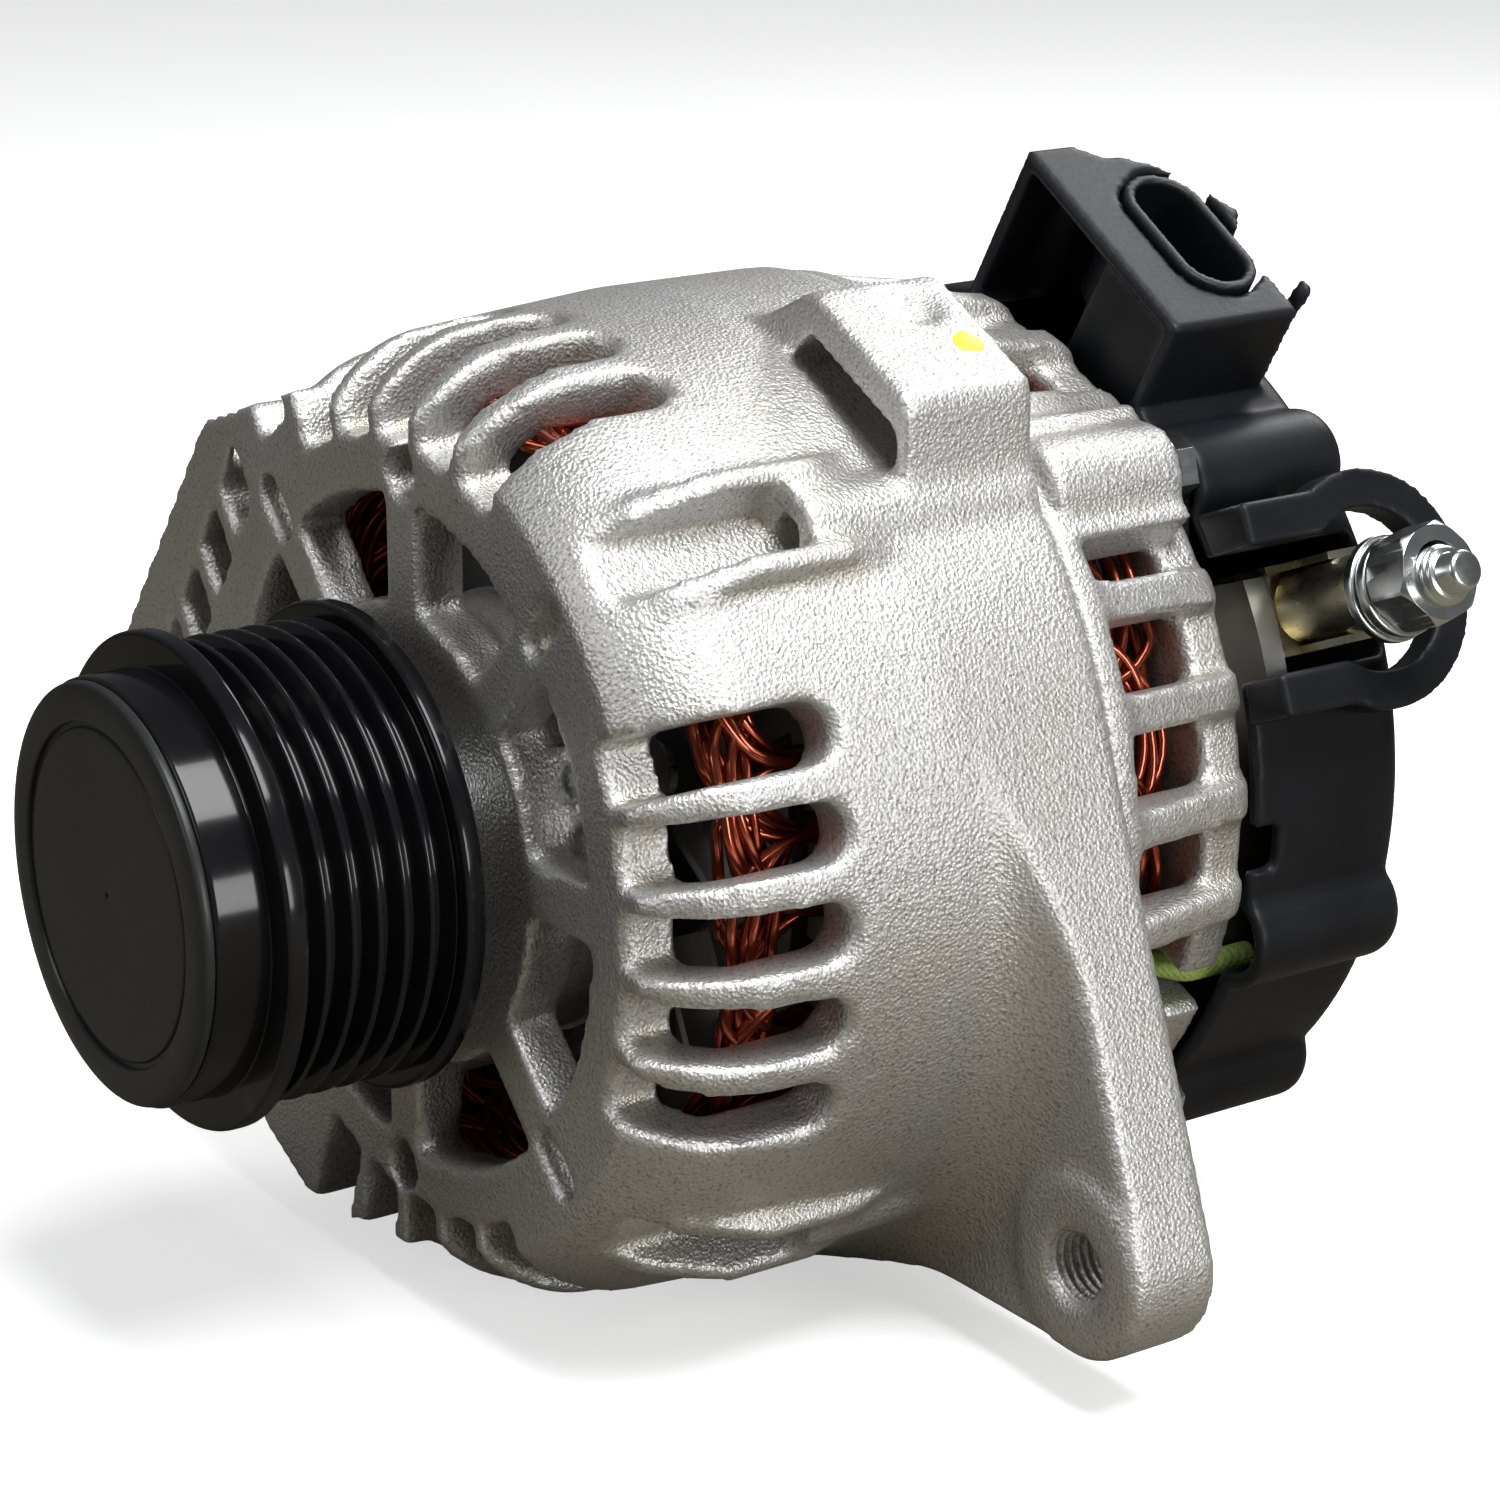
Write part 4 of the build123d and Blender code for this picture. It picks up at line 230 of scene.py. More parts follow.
def rounded(corners, radius, steps=5):
    """A closed outline whose corners are quadratic curves: each leaves its two sides at the radius before
    the corner, or at 0.45 of the shorter side."""
    p = np.array(corners, float)
    back, ahead = np.roll(p, 1, axis=0) - p, np.roll(p, -1, axis=0) - p
    long_back, long_ahead = np.linalg.norm(back, axis=1), np.linalg.norm(ahead, axis=1)
    cut = np.minimum(radius, 0.45 * np.minimum(long_back, long_ahead))
    start = p + back * (cut / long_back)[:, None]
    end = p + ahead * (cut / long_ahead)[:, None]
    u = np.linspace(0, 1, steps)[None, :, None]
    curve = (1 - u) ** 2 * start[:, None] + 2 * u * (1 - u) * p[:, None] + u ** 2 * end[:, None]
    return curve.reshape(-1, 2)


def turned(profile, segments):
    """Points of a closed (radius, y) outline carried round the shaft: x = r cos a, z = r sin a."""
    a = np.linspace(0, 2 * np.pi, segments, endpoint=False)[:, None]
    r, y = profile[None, :, 0], profile[None, :, 1] + 0 * a
    points = np.stack([r * np.cos(a), y, r * np.sin(a)], axis=-1).reshape(-1, 3)
    return points, grid_quads(segments, len(profile), True, True)


def along_stud(points):
    """Turns points from (distance, y, across) of the stud's own axes to the frame's axes."""
    a = math.radians(STUD_AZ)
    d, y, t = points[..., 0], points[..., 1], points[..., 2]
    return np.stack([d * math.cos(a) - t * math.sin(a), y, d * math.sin(a) + t * math.cos(a)], axis=-1)


def stud_axis():
    """The (y, across) place of the stud's axis, from its box."""
    low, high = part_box("output_stud")
    middle = (low + high) / 2 / MM
    a = math.radians(STUD_AZ)
    return middle.y, middle.z * math.cos(a) - middle.x * math.sin(a)


def stud_reach(node):
    """How near and how far a node on the stud lies along the stud's axis, from its vertices."""
    a = math.radians(STUD_AZ)
    flat = np.empty(len(frame["nodes"][node].data.vertices) * 3, np.float32)
    frame["nodes"][node].data.vertices.foreach_get("co", flat)
    flat = flat.reshape(-1, 3) / MM
    d = flat[:, 0] * math.cos(a) + flat[:, 2] * math.sin(a)
    return float(d.min()), float(d.max())


def round_the_stud(profile, segments):
    """A closed (radius, distance) outline carried round the stud's axis."""
    y0, t0 = stud_axis()
    a = np.linspace(0, 2 * np.pi, segments, endpoint=False)[:, None]
    r, d = profile[None, :, 0], profile[None, :, 1] + 0 * a
    points = np.stack([d + 0 * r, y0 + r * np.cos(a), t0 + r * np.sin(a)], axis=-1)
    return along_stud(points).reshape(-1, 3), grid_quads(segments, len(profile), True, True)


def tubes(paths, radius, sides):
    """Round tubes along many paths (S, N, 3). Each ring stands square to its path, and is turned from the
    direction away from the shaft. Both ends of each tube are closed."""
    count, length, _ = paths.shape
    along = np.gradient(paths, axis=1)
    along /= np.linalg.norm(along, axis=2, keepdims=True)
    out = paths * np.array([1.0, 0.0, 1.0])
    out -= along * np.sum(out * along, axis=2, keepdims=True)
    out /= np.linalg.norm(out, axis=2, keepdims=True)
    side = np.cross(along, out)
    a = np.linspace(0, 2 * np.pi, sides, endpoint=False)
    ring = out[:, :, None] * np.cos(a)[None, None, :, None] + side[:, :, None] * np.sin(a)[None, None, :,
                                                                                           None]
    points = (paths[:, :, None] + radius * ring).reshape(-1, 3)
    base = (np.arange(count) * length * sides)[:, None, None]
    quads = (grid_quads(length, sides, False, True)[None] + base).reshape(-1, 4)
    lids = np.arange(sides)[None, :] + np.array([0, (length - 1) * sides])[:, None]
    return points, [quads, (lids[None] + base).reshape(-1, sides)]


def smooth_walk(random, shape, strength):
    """A few waves of random strength along the second axis, zero at both ends."""
    u = np.linspace(0, 1, shape[1])[None, :, None]
    k = np.arange(1, 5)[None, None, :]
    weight = random.normal(size=(shape[0], 1, 4)) / k
    return strength * np.sum(weight * np.sin(np.pi * k * u), axis=2)


def softened_copy(name, node, voxel, rounds, widen=None):
    """A copy of a CAD node with merged doubles, rebuilt on an even grid of voxels and smoothed, which rounds
    every edge as a mould does."""
    source = frame["nodes"][node]
    mesh = source.data.copy()
    mesh.name = name
    work = bmesh.new()
    work.from_mesh(mesh)
    bmesh.ops.remove_doubles(work, verts=work.verts, dist=1e-6)
    work.to_mesh(mesh)
    work.free()
    if widen is not None:
        flat = np.empty(len(mesh.vertices) * 3, np.float32)
        mesh.vertices.foreach_get("co", flat)
        mesh.vertices.foreach_set("co", widen(flat.reshape(-1, 3)).astype(np.float32).ravel())
    mesh.materials.clear()
    rough = bpy.data.objects.new(name + "_rough", mesh)
    bpy.context.scene.collection.objects.link(rough)
    remesh = rough.modifiers.new("Even grid", "REMESH")
    remesh.mode = "VOXEL"
    remesh.voxel_size = voxel * MM
    relax = rough.modifiers.new("Round edges", "SMOOTH")
    relax.factor = 0.5
    relax.iterations = rounds
    bpy.context.view_layer.update()
    ready = rough.evaluated_get(bpy.context.evaluated_depsgraph_get())
    final = bpy.data.meshes.new_from_object(ready)
    final.name = name
    bpy.data.objects.remove(rough)
    final.polygons.foreach_set("use_smooth", np.full(len(final.polygons), True))
    piece = bpy.data.objects.new(name, final)
    bpy.context.scene.collection.objects.link(piece)
    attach(piece, frame["nodes"][node]["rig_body"])
    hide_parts(node)
    return piece


# ---- shared shader groups

FLAT = 0.5                # the curvature value of a flat face
PATCH_SIZE = 45.0
WEAR_SHARPNESS = 7.0
GRAIN_STRENGTH = 0.8
PATTERN_STRENGTH = 0.9
COAT_ROUGHNESS = 0.06


def new_group(name, inputs, outputs):
    """An empty shader group with (name, type, default) inputs and (name, type) outputs."""
    group = bpy.data.node_groups.new(name, "ShaderNodeTree")
    for label, kind, default in inputs:
        socket = group.interface.new_socket(name=label, in_out="INPUT", socket_type=kind)
        socket.default_value = default
    for label, kind in outputs:
        group.interface.new_socket(name=label, in_out="OUTPUT", socket_type=kind)
    start = group.nodes.new("NodeGroupInput")
    end = group.nodes.new("NodeGroupOutput")
    return group, start, end


def add(tree, kind, label="", **values):
    """A node with its properties or input values set, and a label that says what it does."""
    node = tree.nodes.new(kind)
    node.label = label
    for key, value in values.items():
        if hasattr(node, key):
            setattr(node, key, value)
        else:
            node.inputs[key.replace("_", " ")].default_value = value
    return node


def wire(tree, *pairs):
    """Links each (output, input) pair."""
    for source, target in pairs:
        tree.links.new(source, target)


def grain_group():
    """Sand grain: fine noise over round grit, both in object space."""
    group, start, end = new_group("Sand grain",
                                  [("Size", "NodeSocketFloat", 900.0), ("Grit", "NodeSocketFloat", 0.5)],
                                  [("Height", "NodeSocketFloat"), ("Sparkle", "NodeSocketFloat")])
    place = add(group, "ShaderNodeTexCoord")
    fine = add(group, "ShaderNodeTexNoise", "Fine grain", Detail=3.0, Roughness=0.6)
    grit = add(group, "ShaderNodeTexVoronoi", "Grit")
    blend = add(group, "ShaderNodeMix", "Grit over grain", data_type="FLOAT")
    glint = add(group, "ShaderNodeMapRange", "Bright grains", From_Min=0.52, From_Max=0.68)
    wire(group, (place.outputs["Object"], fine.inputs["Vector"]),
         (place.outputs["Object"], grit.inputs["Vector"]), (start.outputs["Size"], fine.inputs["Scale"]),
         (start.outputs["Size"], grit.inputs["Scale"]), (start.outputs["Grit"], blend.inputs["Factor"]),
         (fine.outputs["Fac"], blend.inputs[2]), (grit.outputs["Distance"], blend.inputs[3]),
         (blend.outputs[0], end.inputs["Height"]), (fine.outputs["Fac"], glint.inputs["Value"]),
         (glint.outputs["Result"], end.inputs["Sparkle"]))
    return group


def wear_group():
    """Masks for worn edges and for painted shade in the hollows, from the surface's own curvature, broken up
    by noise.
    """
    group, start, end = new_group("Edges and hollows", [("Sharpness", "NodeSocketFloat", 6.0)],
                                  [("Edge", "NodeSocketFloat"), ("Hollow", "NodeSocketFloat")])
    shape = add(group, "ShaderNodeNewGeometry")
    place = add(group, "ShaderNodeTexCoord")
    noise = add(group, "ShaderNodeTexNoise", "Uneven wear", Scale=90.0, Detail=4.0)
    away = add(group, "ShaderNodeMath", "Above flat", operation="SUBTRACT")
    away.inputs[1].default_value = FLAT
    edge = add(group, "ShaderNodeMath", "Edge strength", operation="MULTIPLY", use_clamp=True)
    under = add(group, "ShaderNodeMath", "Below flat", operation="SUBTRACT")
    under.inputs[0].default_value = FLAT
    # painted shade: this mask darkens creases and recesses that sit below flat curvature
    hollow = add(group, "ShaderNodeMath", "Hollow strength", operation="MULTIPLY", use_clamp=True)
    broken = add(group, "ShaderNodeMath", "Broken up", operation="MULTIPLY", use_clamp=True)
    wire(group, (place.outputs["Object"], noise.inputs["Vector"]),
         (shape.outputs["Pointiness"], away.inputs[0]), (shape.outputs["Pointiness"], under.inputs[1]),
         (away.outputs[0], edge.inputs[0]), (start.outputs["Sharpness"], edge.inputs[1]),
         (under.outputs[0], hollow.inputs[0]), (start.outputs["Sharpness"], hollow.inputs[1]),
         (edge.outputs[0], broken.inputs[0]), (noise.outputs["Fac"], broken.inputs[1]),
         (broken.outputs[0], end.inputs["Edge"]), (hollow.outputs[0], end.inputs["Hollow"]))
    return group


def cloud_group():
    """Slow patches of stain or tone, in object space."""
    group, start, end = new_group("Patches", [("Size", "NodeSocketFloat", 30.0)],
                                  [("Mask", "NodeSocketFloat")])
    place = add(group, "ShaderNodeTexCoord")
    noise = add(group, "ShaderNodeTexNoise", "Patches", Detail=5.0, Roughness=0.55)
    spread = add(group, "ShaderNodeMapRange", "More contrast", From_Min=0.38, From_Max=0.64)
    wire(group, (place.outputs["Object"], noise.inputs["Vector"]),
         (start.outputs["Size"], noise.inputs["Scale"]), (noise.outputs["Fac"], spread.inputs["Value"]),
         (spread.outputs["Result"], end.inputs["Mask"]))
    return group


def rings_group():
    """Fine marks round the shaft or lines along it: bands in the Y direction with a little wander."""
    group, start, end = new_group("Tool lines", [("Size", "NodeSocketFloat", 300.0)],
                                  [("Height", "NodeSocketFloat")])
    place = add(group, "ShaderNodeTexCoord")
    bands = add(group, "ShaderNodeTexWave", "Lines", bands_direction="Y", Distortion=0.8, Detail=2.0)
    wire(group, (place.outputs["Object"], bands.inputs["Vector"]),
         (start.outputs["Size"], bands.inputs["Scale"]), (bands.outputs["Fac"], end.inputs["Height"]))
    return group


def weave_group():
    """A braid: two sets of crossing waves, one for each direction of its threads."""
    group, start, end = new_group("Braid", [("Size", "NodeSocketFloat", 400.0)],
                                  [("Height", "NodeSocketFloat")])
    place = add(group, "ShaderNodeTexCoord")
    first = add(group, "ShaderNodeTexWave", "Threads one way", bands_direction="DIAGONAL")
    flip = add(group, "ShaderNodeVectorMath", "Mirror", operation="MULTIPLY")
    flip.inputs[1].default_value = (1, -1, 1)
    second = add(group, "ShaderNodeTexWave", "Threads the other way", bands_direction="DIAGONAL")
    over = add(group, "ShaderNodeMath", "Over and under", operation="MAXIMUM")
    wire(group, (place.outputs["Object"], first.inputs["Vector"]), (place.outputs["Object"], flip.inputs[0]),
         (flip.outputs[0], second.inputs["Vector"]), (start.outputs["Size"], first.inputs["Scale"]),
         (start.outputs["Size"], second.inputs["Scale"]), (first.outputs["Fac"], over.inputs[0]),
         (second.outputs["Fac"], over.inputs[1]), (over.outputs[0], end.inputs["Height"]))
    return group


# ---- finishes

# base, second, hollow shade, edge and speck are colours; the hollow colour is painted shade in creases and
# hollows, and on the cast aluminium a painted warm gold reflection;
# grain is (size, grit share, height in mm); pattern is (group, size, height in mm)
FINISHES = {
    "cast_aluminium": dict(
        # the hollow colour here is a painted warm gold reflection, standing in for warm light on shaded walls
        # and in pockets
        base=(0.60, 0.60, 0.595), second=(0.57, 0.555, 0.52), hollow=(0.30, 0.225, 0.10),
        edge=(0.84, 0.84, 0.83), speck=(0.30, 0.29, 0.27), metal=0.80, rough=(0.32, 0.56),
        grain=(2000, 0.5, 0.26)),
    "pulley_black": dict(
        base=(0.004, 0.004, 0.005), second=(0.007, 0.007, 0.008), hollow=(0.002, 0.002, 0.002),
        edge=(0.03, 0.03, 0.034), metal=0.0, rough=(0.10, 0.18), grain=(500, 0.1, 0.003), coat=0.12,
        specular=0.22),
    "cap_black": dict(
        base=(0.018, 0.020, 0.021), second=(0.024, 0.026, 0.024), hollow=(0.010, 0.010, 0.011),
        edge=(0.035, 0.035, 0.04), metal=0.0, rough=(0.26, 0.38), grain=(900, 0.2, 0.006), specular=0.25),
    "bearing_steel": dict(
        base=(0.70, 0.70, 0.72), second=(0.62, 0.62, 0.64), hollow=(0.3, 0.28, 0.25),
        edge=(0.85, 0.85, 0.87), metal=1.0, rough=(0.08, 0.2), grain=(900, 0.0, 0.001)),
    "machined_steel": dict(
        base=(0.52, 0.52, 0.53), second=(0.44, 0.44, 0.45), hollow=(0.25, 0.22, 0.18),
        edge=(0.72, 0.72, 0.74), metal=1.0, rough=(0.22, 0.4), grain=(700, 0.1, 0.003),
        pattern=("Tool lines", 900, 0.01)),
    "pressed_steel": dict(
        base=(0.46, 0.46, 0.46), second=(0.36, 0.36, 0.36), hollow=(0.2, 0.18, 0.15),
        edge=(0.66, 0.66, 0.67), metal=1.0, rough=(0.3, 0.5), grain=(500, 0.2, 0.006)),
    "zinc_plated_steel": dict(
        base=(0.66, 0.68, 0.70), second=(0.58, 0.62, 0.58), hollow=(0.36, 0.36, 0.32),
        edge=(0.84, 0.86, 0.88), metal=1.0, rough=(0.16, 0.32), grain=(900, 0.15, 0.006)),
    "yellow_zinc": dict(
        base=(0.62, 0.52, 0.26), second=(0.60, 0.60, 0.50), hollow=(0.30, 0.22, 0.08),
        edge=(0.80, 0.76, 0.60), metal=1.0, rough=(0.2, 0.38), grain=(700, 0.2, 0.006)),
    "cage_plastic": dict(
        base=(0.12, 0.11, 0.10), second=(0.09, 0.08, 0.07), hollow=(0.05, 0.05, 0.04),
        edge=(0.2, 0.19, 0.17), metal=0.0, rough=(0.4, 0.6), grain=(1100, 0.2, 0.01)),
    "core_steel": dict(
        base=(0.16, 0.145, 0.13), second=(0.10, 0.085, 0.075), hollow=(0.04, 0.03, 0.025),
        edge=(0.3, 0.29, 0.28), metal=0.8, rough=(0.4, 0.6), grain=(600, 0.3, 0.02),
        pattern=("Tool lines", 320, 0.05)),
    "enamelled_copper": dict(
        base=(0.34, 0.050, 0.022), second=(0.24, 0.030, 0.014), hollow=(0.05, 0.008, 0.005),
        edge=(0.60, 0.14, 0.06), metal=0.85, rough=(0.14, 0.24), grain=(400, 0.1, 0.008), coat=0.4),
    "copper": dict(
        base=(0.78, 0.42, 0.26), second=(0.66, 0.32, 0.18), hollow=(0.3, 0.14, 0.08), edge=(0.9, 0.6, 0.45),
        metal=1.0, rough=(0.2, 0.36), grain=(500, 0.1, 0.003), pattern=("Tool lines", 1100, 0.01)),
    "insulator_plastic": dict(
        base=(0.030, 0.026, 0.024), second=(0.022, 0.018, 0.016), hollow=(0.010, 0.008, 0.006),
        edge=(0.07, 0.06, 0.05), metal=0.0, rough=(0.36, 0.52), grain=(900, 0.3, 0.012)),
    "graphite": dict(
        base=(0.05, 0.05, 0.05), second=(0.09, 0.07, 0.06), hollow=(0.02, 0.02, 0.02),
        edge=(0.12, 0.11, 0.1), metal=0.3, rough=(0.45, 0.65), grain=(2000, 0.4, 0.02)),
    "black_plastic": dict(
        base=(0.0045, 0.005, 0.007), second=(0.008, 0.009, 0.012), hollow=(0.002, 0.002, 0.003),
        edge=(0.040, 0.044, 0.052), metal=0.0, rough=(0.36, 0.52), grain=(1600, 0.35, 0.02), specular=0.22),
    "heat_sink_aluminium": dict(
        base=(0.66, 0.66, 0.66), second=(0.56, 0.56, 0.56), hollow=(0.35, 0.33, 0.3),
        edge=(0.82, 0.82, 0.82), metal=1.0, rough=(0.28, 0.42), grain=(500, 0.1, 0.006)),
    "diode_metal": dict(
        base=(0.58, 0.55, 0.51), second=(0.48, 0.45, 0.41), hollow=(0.3, 0.26, 0.22),
        edge=(0.76, 0.74, 0.7), metal=1.0, rough=(0.24, 0.38), grain=(700, 0.1, 0.005)),
    "pin_metal": dict(
        base=(0.74, 0.72, 0.66), second=(0.66, 0.63, 0.55), hollow=(0.4, 0.36, 0.28),
        edge=(0.88, 0.87, 0.83), metal=1.0, rough=(0.16, 0.28), grain=(900, 0.1, 0.003)),
    "lead_sleeve_green": dict(
        base=(0.44, 0.62, 0.14), second=(0.36, 0.52, 0.10), hollow=(0.16, 0.24, 0.04),
        edge=(0.62, 0.78, 0.30), metal=0.0, rough=(0.5, 0.68), grain=(1500, 0.3, 0.03),
        pattern=("Braid", 500, 0.14)),
    "paint_yellow": dict(
        base=(0.85, 0.72, 0.03), second=(0.78, 0.62, 0.02), hollow=(0.6, 0.45, 0.02),
        edge=(0.92, 0.82, 0.2), metal=0.0, rough=(0.35, 0.5), grain=(900, 0.3, 0.03)),
}


def linked_group(tree, name, **values):
    """A group node with its inputs set by name."""
    node = tree.nodes.new("ShaderNodeGroup")
    node.node_tree = bpy.data.node_groups[name]
    node.label = name
    for key, value in values.items():
        node.inputs[key].default_value = value
    return node


def mix_colour(tree, label, mask, low, high):
    """A colour mix whose ends are sockets or plain colours."""
    node = add(tree, "ShaderNodeMix", label, data_type="RGBA")
    wire(tree, (mask, node.inputs["Factor"]))
    for socket, value in ((node.inputs[6], low), (node.inputs[7], high)):
        if isinstance(value, tuple):
            socket.default_value = (*value, 1.0)
        else:
            wire(tree, (value, socket))
    return node.outputs[2]


def build_finish(name, finish):
    """One material: two tones in patches, painted shade in the hollows, worn edges, uneven gloss, and a
    raised grain.
    """
    material = bpy.data.materials.new(name)
    material.use_nodes = True
    tree = material.node_tree
    shader = tree.nodes["Principled BSDF"]
    patches = linked_group(tree, "Patches", Size=PATCH_SIZE)
    wear = linked_group(tree, "Edges and hollows", Sharpness=WEAR_SHARPNESS)
    size, grit, height = finish["grain"]
    grain = linked_group(tree, "Sand grain", Size=float(size), Grit=grit)
    colour = mix_colour(tree, "Two tones", patches.outputs["Mask"], finish["base"], finish["second"])
    if "speck" in finish:
        colour = mix_colour(tree, "Dark specks", grain.outputs["Sparkle"], colour, finish["speck"])
    # painted shade: hollows and creases take the hollow colour, which on the castings is a painted warm gold
    # reflection
    colour = mix_colour(tree, "Tinted hollows", wear.outputs["Hollow"], colour, finish["hollow"])
    colour = mix_colour(tree, "Worn edges", wear.outputs["Edge"], colour, finish["edge"])
    gloss = add(tree, "ShaderNodeMapRange", "Uneven gloss", To_Min=finish["rough"][0],
                To_Max=finish["rough"][1])
    bump = add(tree, "ShaderNodeBump", "Raised grain", Distance=height * MM,
               Strength=GRAIN_STRENGTH)
    wire(tree, (colour, shader.inputs["Base Color"]), (grain.outputs["Height"], gloss.inputs["Value"]),
         (gloss.outputs["Result"], shader.inputs["Roughness"]),
         (grain.outputs["Height"], bump.inputs["Height"]))
    normal = bump.outputs["Normal"]
    if "pattern" in finish:
        kind, pitch, depth = finish["pattern"]
        pattern = linked_group(tree, kind, Size=float(pitch))
        relief = add(tree, "ShaderNodeBump", kind, Distance=depth * MM,
                     Strength=PATTERN_STRENGTH)
        wire(tree, (pattern.outputs["Height"], relief.inputs["Height"]), (normal, relief.inputs["Normal"]))
        normal = relief.outputs["Normal"]
    wire(tree, (normal, shader.inputs["Normal"]))
    shader.inputs["Metallic"].default_value = finish["metal"]
    shader.inputs["Coat Weight"].default_value = finish.get("coat", 0.0)
    shader.inputs["Coat Roughness"].default_value = COAT_ROUGHNESS
    shader.inputs["Specular IOR Level"].default_value = finish.get("specular", 0.5)
    return material


def dress(piece, material):
    """Gives a piece one finish and nothing else."""
    piece.data.materials.clear()
    piece.data.materials.append(bpy.data.materials["finish_" + material])


# ---- settings

class CastingSettings(bpy.types.PropertyGroup):
    grid: bpy.props.FloatProperty(
        name="Grid", description="Voxel of the cast pieces, in millimetres", default=1.0, min=0.5, max=3.0)
    rounding: bpy.props.IntProperty(
        name="Rounding", description="Smoothing rounds on the cast edges", default=4, min=0, max=20)
    thread_pitch: bpy.props.FloatProperty(
        name="Thread pitch", description="Pitch of the ear's thread, in millimetres", default=1.25, min=0.5,
        max=2.0)


class WindingSettings(bpy.types.PropertyGroup):
    wire_radius: bpy.props.FloatProperty(
        name="Wire radius", description="Radius of one wire, in millimetres", default=0.70, min=0.2,
        max=1.5)
    strands: bpy.props.IntProperty(
        name="Strands", description="Wires side by side in one coil", default=6, min=1, max=12)
    wander: bpy.props.FloatProperty(
        name="Wander", description="How far the wires stray, in millimetres", default=0.8, min=0.0, max=2.0)


class PulleySettings(bpy.types.PropertyGroup):
    edge: bpy.props.FloatProperty(
        name="Edge", description="Rounding of the groove crests, in millimetres", default=0.28, min=0.05,
        max=1.0)
    segments: bpy.props.IntProperty(
        name="Segments", description="Steps round the pulley", default=240, min=24, max=720)


class TerminalSettings(bpy.types.PropertyGroup):
    pitch: bpy.props.FloatProperty(
        name="Pitch", description="Pitch of the stud's thread, in millimetres", default=1.25, min=0.5,
        max=2.0)
    bevel: bpy.props.FloatProperty(
        name="Bevel", description="Edge bevel of the small metal pieces", default=0.00018, min=0.0,
        max=0.001, unit="LENGTH")


class MouldingSettings(bpy.types.PropertyGroup):
    grid: bpy.props.FloatProperty(
        name="Grid", description="Voxel of the plastic pieces, in millimetres", default=0.62, min=0.3,
        max=2.0)
    rounding: bpy.props.IntProperty(
        name="Rounding", description="Smoothing rounds on the moulded edges", default=3, min=0, max=20)


class StageSettings(bpy.types.PropertyGroup):
    lens: bpy.props.FloatProperty(
        name="Lens", description="Focal length of the camera, in millimetres", default=96.79, min=10.0,
        max=300.0)
    floor_tone: bpy.props.FloatVectorProperty(
        name="Floor", description="Colour of the floor and the sky", subtype="COLOR",
        default=(0.93, 0.93, 0.93), min=0.0, max=1.0)


# ---- operators

class ALTERNATOR_OT_finishes(bpy.types.Operator):
    """Builds the shared groups and one material for each finish, and gives every CAD node its own."""
    bl_idname = "alternator.finishes"
    bl_label = "Finishes"

    def execute(self, context):
        for build in (grain_group, wear_group, cloud_group, rings_group, weave_group):
            build()
        for name, finish in FINISHES.items():
            build_finish("finish_" + name, finish)
        for node in frame["nodes"].values():
            dress(node, node.data.materials[0].name)
        return {"FINISHED"}


def ear_hole_opener(points):
    """Moves the wall of the ear's tapped hole outwards, to make room for its thread."""
    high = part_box("drive_end_bracket")[1]
    x, z = high.x - EAR_TIP_R * MM, EAR_Z * MM
    away = np.hypot(points[:, 0] - x, points[:, 2] - z)
    wall = (np.abs(away - EAR_HOLE_R * MM) < EAR_BAND * MM) & (points[:, 1] > high.y - EAR_LENGTH * MM)
    scale = np.where(wall, EAR_OPEN_R / EAR_HOLE_R, 1.0)
    moved = points.copy()
    moved[:, 0] = x + (points[:, 0] - x) * scale
    moved[:, 2] = z + (points[:, 2] - z) * scale
    return moved


